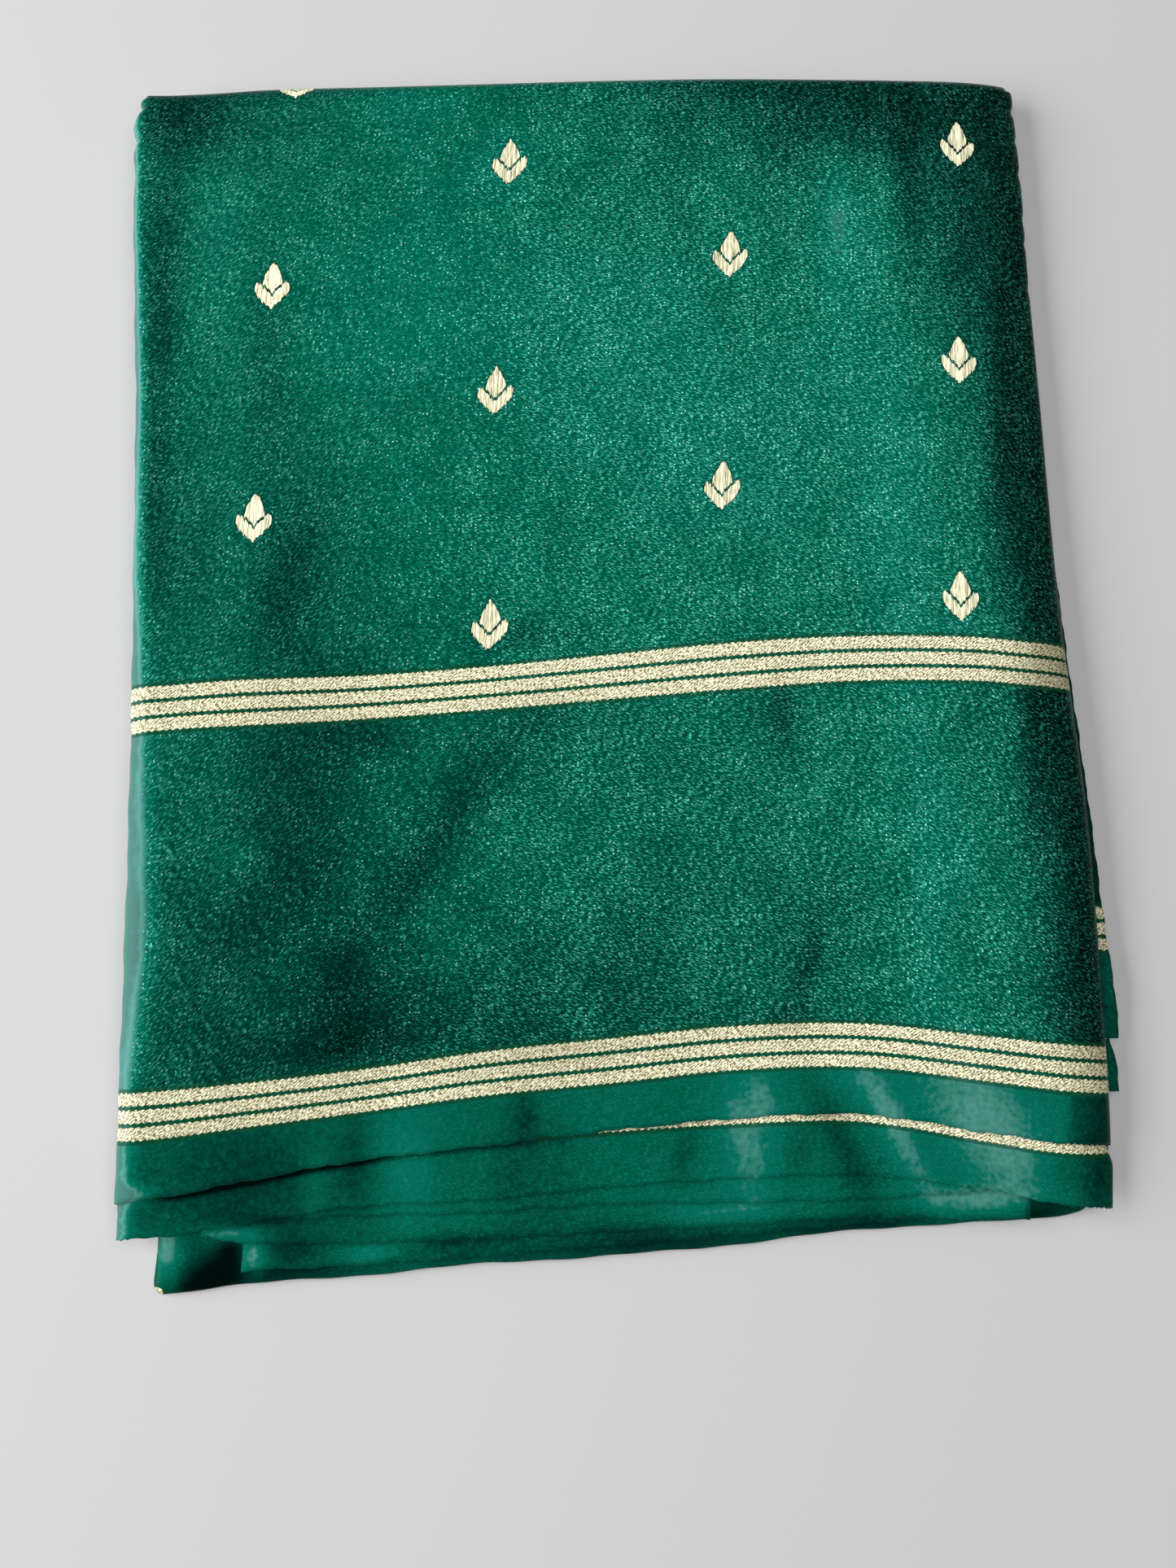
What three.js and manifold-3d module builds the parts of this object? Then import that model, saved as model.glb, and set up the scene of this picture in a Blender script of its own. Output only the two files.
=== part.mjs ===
// A saree folded flat: one long length of cloth, doubled across its width and laid in panels on each other.
//
// Millimetres, +Z up. X runs across the stack, +Y from the selvedges to the top fold, and the origin is
// under the middle of the stack, on the surface that it rests on. Each ply that shows is a thin wall, and
// the panels between them are one rounded core with a row of fold lobes round its edge.
import * as THREE from "three";
import { mergeVertices } from "three/addons/utils/BufferGeometryUtils.js";
import Module from "manifold-3d";

const wasm = await Module();
wasm.setup();

// Driving dimensions, in millimetres.
const STACK_HEIGHT = 18;
const WALL = 1.6;
const PLY_GAP = 0.3;
const PITCH = WALL + PLY_GAP;
const LEFT_ROLL_RADIUS = 7;
const RIGHT_ROLL_WIDTH = 24;
const RIGHT_ROLL_DROP = 8;
const TOP_ROLL_WIDTH = 8;
const TOP_ROLL_DROP = 7;
const THINNING_LENGTH = 40;
const THINNING = 2;
const LIP_DROP = 2.5;
const LIP_LENGTH = 25;
const CORE_FRONT_OVERHANG = 12;
const CORE_LOBES = 4;
const LOBE_DEPTH = 2.8;
const NECK = 1;
const FLAP_DROOP = 0.5;

// How far a roll turns past the flat, as a share of a quarter turn.
const LEFT_TURN = 1.4;
const RIGHT_TURN = 0.97;
const TOP_TURN = 1.08;

const SATIN = { color: 0x0a6950, roughness: 0.45, metalness: 0 };

// Where each edge lies at stations across the stack: the top fold, then the selvedge of each ply that
// shows, from the first down to the fifth, and the outline of the lowest fold.
const EDGES = [
  { x: -240, fold: 298.0, first: -267.5, second: -284.0, third: -276.0, fourth: -282.5, fifth: -300.0, lowest: -311.0 },
  { x: -210, fold: 299.4, first: -263.6, second: -281.7, third: -275.5, fourth: -283.0, fifth: -299.0, lowest: -310.2 },
  { x: -180, fold: 301.4, first: -258.1, second: -277.5, third: -275.0, fourth: -283.5, fifth: -298.5, lowest: -306.2 },
  { x: -120, fold: 303.1, first: -247.2, second: -268.3, third: -272.8, fourth: -285.5, fifth: -295.9, lowest: -301.8 },
  { x: -60, fold: 304.7, first: -240.3, second: -265.3, third: -271.4, fourth: -283.7, fifth: -292.0, lowest: -296.3 },
  { x: 0, fold: 306.7, first: -233.3, second: -259.3, third: -267.5, fourth: -280.5, fifth: -287.5, lowest: -292.7 },
  { x: 60, fold: 307.9, first: -227.6, second: -255.5, third: -266.7, fourth: -277.9, fifth: -282.1, lowest: -287.5 },
  { x: 120, fold: 307.3, first: -225.8, second: -254.0, third: -265.4, fourth: -274.4, fifth: -277.1, lowest: -280.7 },
  { x: 180, fold: 306.2, first: -234.5, second: -260.9, third: -264.5, fourth: -274.5, fifth: -272.0, lowest: -277.3 },
  { x: 210, fold: 305.0, first: -238.5, second: -267.5, third: -264.0, fourth: -274.0, fifth: -270.0, lowest: -274.9 },
  { x: 240, fold: 303.5, first: -240.5, second: -269.5, third: -263.5, fourth: -273.5, fifth: -268.0, lowest: -268.0 },
];

// The left and right edges of the top panel, at stations along the stack.
const SIDES = [
  { y: -285, left: -229.5, right: 235.0 },
  { y: -240, left: -230.8, right: 237.0 },
  { y: -154, left: -233.0, right: 236.4 },
  { y: -83, left: -234.6, right: 234.5 },
  { y: -10, left: -236.8, right: 228.8 },
  { y: 40, left: -238.8, right: 225.8 },
  { y: 126, left: -242.2, right: 223.0 },
  { y: 200, left: -246.8, right: 219.9 },
  { y: 250, left: -249.0, right: 218.1 },
  { y: 290, left: -246.0, right: 215.6 },
  { y: 310, left: -240.5, right: 214.6 },
];

// Soft swells and troughs of the stack, each a low mound: where its middle is, its half length, its half
// width, how far its length is turned from X in degrees, and how high it stands.
const SWELLS = [
  { x: -150, y: -70, length: 120, width: 34, turn: 52, height: -0.9 },
  { x: -178, y: -150, length: 60, width: 32, turn: 80, height: -0.8 },
  { x: -175, y: 110, length: 120, width: 32, turn: 96, height: -0.7 },
  { x: -20, y: -60, length: 150, width: 60, turn: 20, height: 0.8 },
  { x: 96, y: -110, length: 110, width: 30, turn: 78, height: -0.8 },
  { x: 165, y: -90, length: 130, width: 36, turn: 86, height: 0.8 },
  { x: 150, y: 190, length: 110, width: 36, turn: 80, height: 0.7 },
  { x: 95, y: 150, length: 110, width: 30, turn: 84, height: -0.6 },
  { x: -60, y: 180, length: 140, width: 80, turn: 10, height: 0.6 },
];

// The plies under the top panel: their depth below the top in pitches, how far they reach in under the
// ply above, and the stretch across the stack where they lie.
const PLIES = [
  { name: "second_ply", edge: "second", depth: 1, tuck: 85, left: -Infinity, right: Infinity },
  { name: "third_ply", edge: "third", depth: 2, tuck: 66, left: -176, right: 176 },
  { name: "fourth_ply", edge: "fourth", depth: 3, tuck: 50, left: -189, right: 197 },
  { name: "fifth_ply", edge: "fifth", depth: 4, tuck: 35, left: -170, right: 180 },
];

// The lowest fold, a soft roll along the near edge: its two ends and how far each is rounded, its tuck,
// its depth in pitches, and how much narrower and lower its very ends are.
const LOWEST = { left: -213, right: 228, roundLeft: 4, roundRight: 16, tuck: 10, depth: 5, narrow: 5, least: 0.35 };

// The panels whose corners show past the right edge: the height of the top, how far they reach in, and
// the outer edge at stations along the stack.
const FLAPS = [
  {
    name: "right_flap_upper",
    top: 9.9,
    reach: 14,
    rows: [
      { y: 42, x: 226.5 },
      { y: 0, x: 229.5 },
      { y: -60, x: 234.8 },
      { y: -105, x: 238.3 },
      { y: -128, x: 239.6 },
      { y: -150, x: 241.8 },
      { y: -170, x: 243.5 },
      { y: -176.2, x: 243.9 },
    ],
  },
  {
    name: "right_flap_middle",
    top: 8.0,
    reach: 15,
    rows: [
      { y: 20, x: 226.0 },
      { y: -60, x: 234.0 },
      { y: -128, x: 240.5 },
      { y: -165, x: 243.6 },
      { y: -180, x: 244.8 },
      { y: -191.3, x: 245.0 },
    ],
  },
  {
    name: "right_flap_lower",
    top: 6.1,
    reach: 16,
    rows: [
      { y: -20, x: 226.5 },
      { y: -90, x: 234.5 },
      { y: -150, x: 239.5 },
      { y: -192, x: 241.5 },
      { y: -202, x: 243.6 },
      { y: -216.3, x: 244.3 },
    ],
  },
];

// A smooth curve through one column of a table: cubic pieces whose slope at each row is the slope of the
// line between the rows on either side of it.
function curveThrough(rows, key, value) {
  const sorted = [...rows].sort((a, b) => a[key] - b[key]);
  const last = sorted.length - 1;
  const slope = sorted.map((row, i) => {
    const before = sorted[Math.max(i - 1, 0)];
    const after = sorted[Math.min(i + 1, last)];
    return (after[value] - before[value]) / (after[key] - before[key]);
  });
  return (at) => {
    const clamped = THREE.MathUtils.clamp(at, sorted[0][key], sorted[last][key]);
    const i = Math.min(Math.max(sorted.findIndex((row) => row[key] > clamped) - 1, 0), last - 1);
    const index = clamped >= sorted[last][key] ? last - 1 : i;
    const step = sorted[index + 1][key] - sorted[index][key];
    const t = (clamped - sorted[index][key]) / step;
    const start = 2 * t ** 3 - 3 * t ** 2 + 1;
    const end = 3 * t ** 2 - 2 * t ** 3;
    const leave = t ** 3 - 2 * t ** 2 + t;
    const arrive = t ** 3 - t ** 2;
    return (
      start * sorted[index][value] +
      end * sorted[index + 1][value] +
      leave * step * slope[index] +
      arrive * step * slope[index + 1]
    );
  };
}

const edge = Object.fromEntries(
  ["fold", "first", "second", "third", "fourth", "fifth", "lowest"].map((name) => [
    name,
    curveThrough(EDGES, "x", name),
  ]),
);
const side = { left: curveThrough(SIDES, "y", "left"), right: curveThrough(SIDES, "y", "right") };

// How high the top of the stack is at a place in plan: level, with the swells, thinner at the selvedges.
function stackHeight(x, y) {
  const above = y - edge.first(x);
  let height = STACK_HEIGHT;
  if (above < THINNING_LENGTH) height -= THINNING * (1 - Math.max(above, 0) / THINNING_LENGTH) ** 2;
  if (above < 0) height -= LIP_DROP * (1 - Math.exp(above / LIP_LENGTH));
  for (const swell of SWELLS) {
    const turn = THREE.MathUtils.degToRad(swell.turn);
    const along = ((x - swell.x) * Math.cos(turn) + (y - swell.y) * Math.sin(turn)) / swell.length;
    const across = ((y - swell.y) * Math.cos(turn) - (x - swell.x) * Math.sin(turn)) / swell.width;
    height += swell.height * Math.exp(-(along ** 2) - across ** 2);
  }
  return height;
}

// How far in from its outermost line, and how far down, a roll has come at a share of a quarter turn.
const roll = (share, width, drop) => ({
  inset: width * (1 - Math.sin((share * Math.PI) / 2)),
  drop: drop * (1 - Math.cos((share * Math.PI) / 2)),
});

// A point of the outermost surface. across is -1 where the left roll stands upright (and less where it
// turns under), 0 to 1 over the flat, and 2 at the right edge. along is 0 at the first selvedge (and less
// beyond it), 1 where the top roll starts, and 2 where the top roll stands upright.
function surfacePoint(across, along) {
  const nominal = Math.min(along, 1);
  const yAt = (x) => THREE.MathUtils.lerp(edge.first(x), edge.fold(x) - TOP_ROLL_WIDTH, nominal);
  const left = side.left(yAt(SIDES[0].left));
  const right = side.right(yAt(SIDES[0].right));
  const leftRoll = roll(Math.max(-across, 0), LEFT_ROLL_RADIUS, LEFT_ROLL_RADIUS);
  const rightRoll = roll(Math.max(across - 1, 0), RIGHT_ROLL_WIDTH, RIGHT_ROLL_DROP);
  const topRoll = roll(Math.max(along - 1, 0), TOP_ROLL_WIDTH, TOP_ROLL_DROP);
  const flat = THREE.MathUtils.clamp(across, 0, 1);
  const x = THREE.MathUtils.lerp(left + leftRoll.inset, right - rightRoll.inset, flat);
  const y = along > 1 ? edge.fold(x) - topRoll.inset : yAt(x);
  const shares = [leftRoll.drop, rightRoll.drop, topRoll.drop].map((drop) => 1 - drop / STACK_HEIGHT);
  const z = stackHeight(x, y) * shares[0] * shares[1] * shares[2];
  return new THREE.Vector3(x, y, z);
}

// The same point, moved inwards along the surface's own normal.
function nestedPoint(across, along, depth) {
  const step = 1e-3;
  const acrossWay = surfacePoint(across + step, along).sub(surfacePoint(across - step, along));
  const alongWay = surfacePoint(across, along + step).sub(surfacePoint(across, along - step));
  const normal = acrossWay.cross(alongWay).normalize();
  return surfacePoint(across, along).addScaledVector(normal, -depth);
}

// The share of the way from the first selvedge to the top roll where a curve y(x) lies, at one column.
function alongAt(across, curve) {
  let along = 0;
  for (let pass = 0; pass < 4; pass += 1) {
    const x = surfacePoint(across, Math.min(along, 0)).x;
    along = (curve(x) - edge.first(x)) / (edge.fold(x) - TOP_ROLL_WIDTH - edge.first(x));
  }
  return along;
}

const spread = (from, to, steps) =>
  Array.from({ length: steps + 1 }, (_, i) => THREE.MathUtils.lerp(from, to, i / steps));

const LEFT_COLUMNS = spread(-LEFT_TURN, 0, 6);
const FLAT_COLUMNS = spread(0, 1, 20).slice(1);
const RIGHT_COLUMNS = spread(1, 1 + RIGHT_TURN, 5).slice(1);
const COLUMNS = [...LEFT_COLUMNS, ...FLAT_COLUMNS, ...RIGHT_COLUMNS];
const ROWS = [...spread(0, 0.16, 4), ...spread(0.16, 1, 16).slice(1), ...spread(1, 1 + TOP_TURN, 4).slice(1)];

// A closed body between two grids of points of the same size, the first of them outermost.
function wallBetween(outer, inner) {
  const rows = outer.length;
  const columns = outer[0].length;
  const points = [...outer.flat(), ...inner.flat()];
  const faces = [];
  const at = (layer, row, column) => layer * rows * columns + row * columns + column;
  const quad = (a, b, c, d) => faces.push(a, b, c, a, c, d);
  for (let r = 0; r < rows - 1; r += 1) {
    for (let c = 0; c < columns - 1; c += 1) {
      quad(at(0, r, c), at(0, r, c + 1), at(0, r + 1, c + 1), at(0, r + 1, c));
      quad(at(1, r, c), at(1, r + 1, c), at(1, r + 1, c + 1), at(1, r, c + 1));
    }
  }
  const rim = rimOf(rows, columns);
  rim.forEach(([r, c], i) => {
    const [nextR, nextC] = rim[(i + 1) % rim.length];
    quad(at(0, r, c), at(1, r, c), at(1, nextR, nextC), at(0, nextR, nextC));
  });
  return geometryOf(points, faces);
}

// The rim of a grid, anticlockwise from above: along the first row, up the last column, and back.
function rimOf(rows, columns) {
  const rim = [];
  for (let c = 0; c < columns - 1; c += 1) rim.push([0, c]);
  for (let r = 0; r < rows - 1; r += 1) rim.push([r, columns - 1]);
  for (let c = columns - 1; c > 0; c -= 1) rim.push([rows - 1, c]);
  for (let r = rows - 1; r > 0; r -= 1) rim.push([r, 0]);
  return rim;
}

function geometryOf(points, faces) {
  const geometry = new THREE.BufferGeometry();
  geometry.setAttribute("position", new THREE.Float32BufferAttribute(points.flatMap((p) => p.toArray()), 3));
  geometry.setIndex(faces);
  return geometry;
}

// The topmost ply: a wall over the whole stack, rolled at the left, the right and the top.
function topPanel() {
  const grid = (depth) => ROWS.map((along) => COLUMNS.map((across) => nestedPoint(across, along, depth)));
  return wallBetween(grid(0), grid(WALL));
}

// A ply under the top panel, from its selvedge to where it is tucked in. spare grows it all round.
function tuckedPly(ply, spare = 0) {
  const selvedge = edge[ply.edge];
  const inner = (x) => edge.first(x) + ply.tuck + spare;
  const wraps = ply.left === -Infinity;
  const columns = wraps
    ? [...COLUMNS.filter((across) => across > -1.2 && across < 1.85)]
    : spread(ply.left - spare, ply.right + spare, 16).map(flatColumn);
  if (wraps && spare) {
    columns[0] -= spare / LEFT_ROLL_RADIUS;
    columns[columns.length - 1] += spare / RIGHT_ROLL_WIDTH;
  }
  const shares = [0, 0.5, ...spread(0, 1, 4)].map((share, i) => ({ share, overhang: i < 2 }));
  const grid = (depth) =>
    shares.map(({ share, overhang }) =>
      columns.map((across) => {
        const outer = alongAt(across, (x) => selvedge(x) - spare);
        const along = overhang
          ? THREE.MathUtils.lerp(outer, 0, share)
          : THREE.MathUtils.lerp(0, alongAt(across, inner), share);
        return nestedPoint(across, along, depth);
      }),
    );
  const depth = ply.depth * PITCH;
  return wallBetween(grid(depth - spare), grid(depth + WALL + spare));
}

// The column of the flat part that passes through a given x near the selvedges.
function flatColumn(x) {
  const left = side.left(SIDES[0].y) + LEFT_ROLL_RADIUS;
  const right = side.right(SIDES[0].y) - RIGHT_ROLL_WIDTH;
  return (x - left) / (right - left);
}

// The lowest fold: a flat roll with two lobes along its near side, lying on the surface, with round ends.
function lowestFold(spare = 0) {
  const stations = [0, 0.004, 0.012, ...spread(0.035, 0.96, 21), 0.98, 0.992, 1].map((share) => {
    const x = THREE.MathUtils.lerp(LOWEST.left, LOWEST.right, share);
    const toEnd = Math.min((x - LOWEST.left) / LOWEST.roundLeft, (LOWEST.right - x) / LOWEST.roundRight, 1);
    const round = Math.sqrt(1 - (1 - toEnd) ** 2);
    return { x, round: Math.max(round, LOWEST.least) };
  });
  // The section: how far in from the outline, and the height as a share of the fold's own height.
  const section = [
    { inset: 1.2, height: 0 },
    { inset: 0.3, height: 0.2 },
    { inset: 2.6, height: 0.42 },
    { inset: 0.4, height: 0.6 },
    { inset: 0.9, height: 0.8 },
    { inset: 3.2, height: 0.95 },
    { inset: 9, height: 1 },
  ];
  const rings = stations.map(({ x, round }, i) => {
    const end = (i === 0 ? -spare : 0) + (i === stations.length - 1 ? spare : 0);
    const near = edge.lowest(x);
    const far = edge.first(x) + LOWEST.tuck;
    const top = (y) => stackHeight(x, y) - LOWEST.depth * PITCH - PLY_GAP;
    const narrow = (1 - round) * LOWEST.narrow;
    const outline = section.map(({ inset, height }) => {
      const y = near + inset + narrow;
      return new THREE.Vector3(x + end, y - spare, height * top(y) * round + (height > 0.9 ? spare : 0));
    });
    const middle = THREE.MathUtils.lerp(near, far, 0.55);
    outline.push(new THREE.Vector3(x + end, middle, top(middle) * round + spare));
    outline.push(new THREE.Vector3(x + end, far + spare, top(far) * round + spare));
    outline.push(new THREE.Vector3(x + end, far + spare, 0));
    if (spare) {
      outline[0].z = -1;
      outline[outline.length - 1].z = -1;
    }
    return outline;
  });
  return tubeThrough(rings);
}

// A closed body through a row of rings of the same count, with a flat fan over each end.
function tubeThrough(rings) {
  const count = rings[0].length;
  const points = rings.flat();
  const faces = [];
  for (let r = 0; r < rings.length - 1; r += 1) {
    for (let i = 0; i < count; i += 1) {
      const j = (i + 1) % count;
      const [a, b] = [r * count + i, r * count + j];
      faces.push(a, b, b + count, a, b + count, a + count);
    }
  }
  for (const [ring, turned] of [[0, true], [rings.length - 1, false]]) {
    const centre = rings[ring].reduce((sum, p) => sum.add(p), new THREE.Vector3()).divideScalar(count);
    const middle = points.push(centre) - 1;
    for (let i = 0; i < count; i += 1) {
      const [a, b] = [ring * count + i, ring * count + ((i + 1) % count)];
      faces.push(...(turned ? [middle, b, a] : [middle, a, b]));
    }
  }
  return facingOut(geometryOf(points, faces));
}

// Turns every face round where the body came out inside out.
function facingOut(geometry) {
  const at = (i) => new THREE.Vector3().fromBufferAttribute(geometry.attributes.position, geometry.index.array[i]);
  let volume = 0;
  for (let i = 0; i < geometry.index.count; i += 3) volume += at(i).dot(at(i + 1).cross(at(i + 2)));
  if (volume < 0) geometry.setIndex([...geometry.index.array].reverse());
  return geometry;
}

// A panel that shows past the right edge: a flat wall that droops a little towards its outer edge.
function rightFlap(flap, spare = 0) {
  const rows = [...flap.rows].sort((a, b) => a.y - b.y);
  const outer = curveThrough(rows, "y", "x");
  const stations = spread(rows[0].y - spare, rows[rows.length - 1].y + spare, 14);
  const grid = (level) =>
    stations.map((y) => {
      const inner = side.right(y) - flap.reach - spare;
      const edgeAt = Math.max(outer(y) + spare, inner + 2);
      return spread(0, 1, 3).map((share) => {
        const x = THREE.MathUtils.lerp(inner, edgeAt, share);
        return new THREE.Vector3(x, y, level - FLAP_DROOP * share ** 2);
      });
    });
  return wallBetween(grid(flap.top + spare), grid(flap.top - WALL - spare));
}

// The hidden panels: the skin nests under the top panel, and from its rim the sides come down in lobes,
// one to a folded panel, to a flat underside.
function foldedCore() {
  const frontRow = -CORE_FRONT_OVERHANG / (STACK_HEIGHT * 30);
  const rows = [frontRow, ...ROWS];
  const skin = rows.map((along) => COLUMNS.map((across) => nestedPoint(across, along, PITCH)));
  const rim = rimOf(rows.length, COLUMNS.length);
  const sign = (index, last) => (index === last) - (index === 0);
  const outward = rim.map(([r, c]) => new THREE.Vector2(sign(c, COLUMNS.length - 1), sign(r, rows.length - 1)));
  const start = rim.map(([r, c]) => skin[r][c]);
  const outline = rim.map(([r, c]) => {
    const across = THREE.MathUtils.clamp(COLUMNS[c], -1, 2);
    const along = THREE.MathUtils.clamp(rows[r], -1, 2);
    return surfacePoint(across, along);
  });
  const lip = rim.map(([r, c]) => nestedPoint(COLUMNS[c], rows[r], WALL).z);
  const shoulder = start.map((p, i) => Math.min(p.z, lip[i]) - NECK);
  const place = (i, inset, z) =>
    new THREE.Vector3(outline[i].x - outward[i].x * inset, outline[i].y - outward[i].y * inset, z);
  const rings = [start, start.map((p, i) => new THREE.Vector3(p.x, p.y, shoulder[i]))];
  const lobe = [
    { down: 0.22, inset: 0.25 },
    { down: 0.5, inset: 0 },
    { down: 0.78, inset: 0.25 },
    { down: 1, inset: 1 },
  ];
  for (let n = 0; n < CORE_LOBES; n += 1) {
    for (const { down, inset } of lobe) {
      const last = n === CORE_LOBES - 1 && down === 1;
      rings.push(
        start.map((_, i) => {
          const z = shoulder[i] * (1 - (n + down) / CORE_LOBES);
          const uneven = 0.8 + 0.8 * Math.sin(n * 2.3 + i * 0.11) + 0.5 * Math.sin(n * 4.1 + i * 0.37);
          return place(i, uneven + LOBE_DEPTH * (last ? 0.5 : inset), z);
        }),
      );
    }
  }
  const points = skin.flat();
  const faces = [];
  const width = COLUMNS.length;
  for (let r = 0; r < rows.length - 1; r += 1) {
    for (let c = 0; c < width - 1; c += 1) {
      const a = r * width + c;
      faces.push(a, a + 1, a + 1 + width, a, a + 1 + width, a + width);
    }
  }
  let above = rim.map(([r, c]) => r * width + c);
  for (const ring of rings.slice(1)) {
    const below = ring.map((p) => points.push(p) - 1);
    above.forEach((a, i) => {
      const j = (i + 1) % rim.length;
      faces.push(a, below[i], below[j], a, below[j], above[j]);
    });
    above = below;
  }
  const middle = points.push(new THREE.Vector3(0, 0, 0)) - 1;
  above.forEach((a, i) => faces.push(middle, above[(i + 1) % rim.length], a));
  return facingOut(geometryOf(points, faces));
}

// A geometry as a solid that can be cut.
function solidOf(geometry) {
  const merged = mergeVertices(geometry, 1e-4);
  return new wasm.Manifold(
    new wasm.Mesh({
      numProp: 3,
      vertProperties: merged.attributes.position.array,
      triVerts: new Uint32Array(merged.index.array),
    }),
  );
}

// The core with room cut for each ply, the lowest fold and the flaps, a ply gap clear of all of them.
function cutCore() {
  const room = [
    ...PLIES.map((ply) => tuckedPly(ply, PLY_GAP)),
    lowestFold(PLY_GAP),
    ...FLAPS.map((flap) => rightFlap(flap, PLY_GAP)),
  ];
  const cut = room.reduce((solid, geometry) => solid.subtract(solidOf(geometry)), solidOf(foldedCore()));
  const largest = cut.decompose().sort((a, b) => b.volume() - a.volume())[0];
  const mesh = largest.getMesh();
  const geometry = new THREE.BufferGeometry();
  geometry.setAttribute("position", new THREE.BufferAttribute(new Float32Array(mesh.vertProperties), 3));
  geometry.setIndex([...mesh.triVerts]);
  return geometry;
}

function cloth(name, geometry) {
  const mesh = new THREE.Mesh(geometry, new THREE.MeshStandardMaterial(SATIN));
  mesh.name = name;
  return mesh;
}

const group = new THREE.Group();
group.add(cloth("top_panel", topPanel()));
for (const ply of PLIES) group.add(cloth(ply.name, tuckedPly(ply)));
group.add(cloth("lowest_fold", lowestFold()));
for (const flap of FLAPS) group.add(cloth(flap.name, rightFlap(flap)));
group.add(cloth("folded_core", cutCore()));

export default group;
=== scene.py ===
"""A saree folded flat: green satin with metallic striped borders and woven bud motifs.

Every ply that shows is a thin sheet on one shared form: the top of the stack, with its rolled edges. Its
points are functions of two parameters, worked out as whole arrays. The hidden panels are one body with a
row of fold lobes round its edge. Tables and sizes are in millimetres, and meshes in metres.
"""

import logging
import math
from collections.abc import Callable
from dataclasses import dataclass, field
from enum import Enum

import bpy
import numpy as np
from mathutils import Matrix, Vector


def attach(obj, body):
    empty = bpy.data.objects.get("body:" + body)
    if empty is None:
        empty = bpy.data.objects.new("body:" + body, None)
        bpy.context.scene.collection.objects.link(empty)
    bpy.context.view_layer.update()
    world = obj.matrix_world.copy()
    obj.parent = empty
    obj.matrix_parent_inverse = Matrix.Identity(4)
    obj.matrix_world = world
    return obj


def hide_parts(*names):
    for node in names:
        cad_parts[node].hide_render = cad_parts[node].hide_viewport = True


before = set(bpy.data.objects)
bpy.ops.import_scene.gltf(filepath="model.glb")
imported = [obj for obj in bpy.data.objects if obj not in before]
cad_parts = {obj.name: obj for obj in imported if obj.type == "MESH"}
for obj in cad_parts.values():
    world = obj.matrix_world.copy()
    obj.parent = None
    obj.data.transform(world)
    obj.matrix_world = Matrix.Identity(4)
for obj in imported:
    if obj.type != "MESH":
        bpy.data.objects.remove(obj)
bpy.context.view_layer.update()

LOG = logging.getLogger("saree")
MM = 0.001
BODY = "root"
CLOTH_UV = "Cloth"
# The vertex attribute of painted light and shade, which the satin's colour follows.
PAINTED_LIGHT_ATTRIBUTE = "tone"
# Solidify's offset that puts a wall inside its surface.
INWARDS = -1
# How far across the saree one step of a grid's across, 0 to 1, is taken to be for the selvedges' waves.
GRID_WIDTH = 440

# The edges of the plies at stations across the stack: the top fold, then each ply's selvedge from the
# first down to the fifth, and the outline of the lowest fold.
EDGES = {
    "x": (-240, -210, -180, -120, -60, 0, 60, 120, 180, 210, 240),
    "fold": (301.5, 303.0, 305.2, 307.0, 308.8, 310.6, 311.6, 311.2, 310.0, 309.5, 309.2),
    "first": (-267.5, -263.6, -258.1, -247.2, -240.3, -233.3, -227.6, -225.8, -234.5, -238.5, -240.5),
    "second": (-284.0, -281.7, -277.5, -268.3, -265.3, -259.3, -255.5, -254.0, -260.9, -267.5, -269.5),
    "third": (-276.0, -275.5, -275.0, -272.8, -271.4, -267.5, -266.7, -265.4, -261.5, -262.5, -263.5),
    "fourth": (-276.0, -277.0, -284.3, -285.5, -283.7, -280.5, -277.9, -274.4, -274.5, -274.0, -273.5),
    "fifth": (-300.0, -299.0, -298.5, -295.9, -292.0, -287.5, -282.1, -277.1, -272.0, -270.0, -268.0),
    "lowest": (-311.0, -310.2, -306.2, -301.8, -296.3, -292.7, -287.5, -280.7, -277.3, -274.9, -268.0),
}

# At stations along the stack: the left and right edges of the top panel, how wide its rolled sides are,
# and how far in the light on the left one and the shade on the right one reach.
SIDES = {
    "y": (-285, -240, -154, -83, -10, 40, 126, 200, 250, 290, 310),
    "left": (-231.5, -231.8, -233.2, -234.6, -236.8, -238.8, -242.2, -246.8, -249.4, -249.2, -247.0),
    "right": (235.0, 237.0, 236.4, 234.5, 228.8, 225.8, 223.0, 220.3, 219.4, 217.6, 216.8),
    "roll": (24, 24, 27, 24, 20, 26, 44, 50, 50, 46, 44),
    "left_roll": (10, 10, 10, 10, 9.5, 9, 8, 7, 7, 6.5, 6),
    "left_light": (8, 9.5, 15, 13.5, 9, 7.5, 6.5, 6, 5, 3.8, 3.8),
    "right_shade": (22, 30, 40, 36, 36, 38, 40, 40, 36, 34, 34),
}

# Where the woven stripes lie on the top panel, at stations across the stack: the lower and the upper edge
# of the border by the selvedge, and of the border higher up.
STRIPES = {
    "x": (-240, -210, -180, -120, -60, 0, 60, 120, 180, 210, 240),
    "low_start": (-239.5, -237.4, -233.5, -225.8, -217.9, -212.1, -206.0, -204.7, -211.5, -215.3, -217.5),
    "low_end": (-215.8, -213.9, -211.3, -204.6, -196.0, -189.8, -184.0, -182.9, -188.9, -192.1, -194.2),
    "high_start": (-46.4, -43.2, -41.5, -38.1, -33.6, -28.6, -23.5, -19.2, -19.2, -21.5, -24.0),
    "high_end": (-21.8, -19.3, -16.9, -14.7, -10.4, -4.4, 1.7, 5.1, 4.5, 1.7, -0.8),
}

# The same lines on the flat cloth, as distances from its selvedge.
STRIPE_LINES = {"low_start": 21.5, "low_end": 44.0, "high_start": 205.5, "high_end": 229.5}

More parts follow.
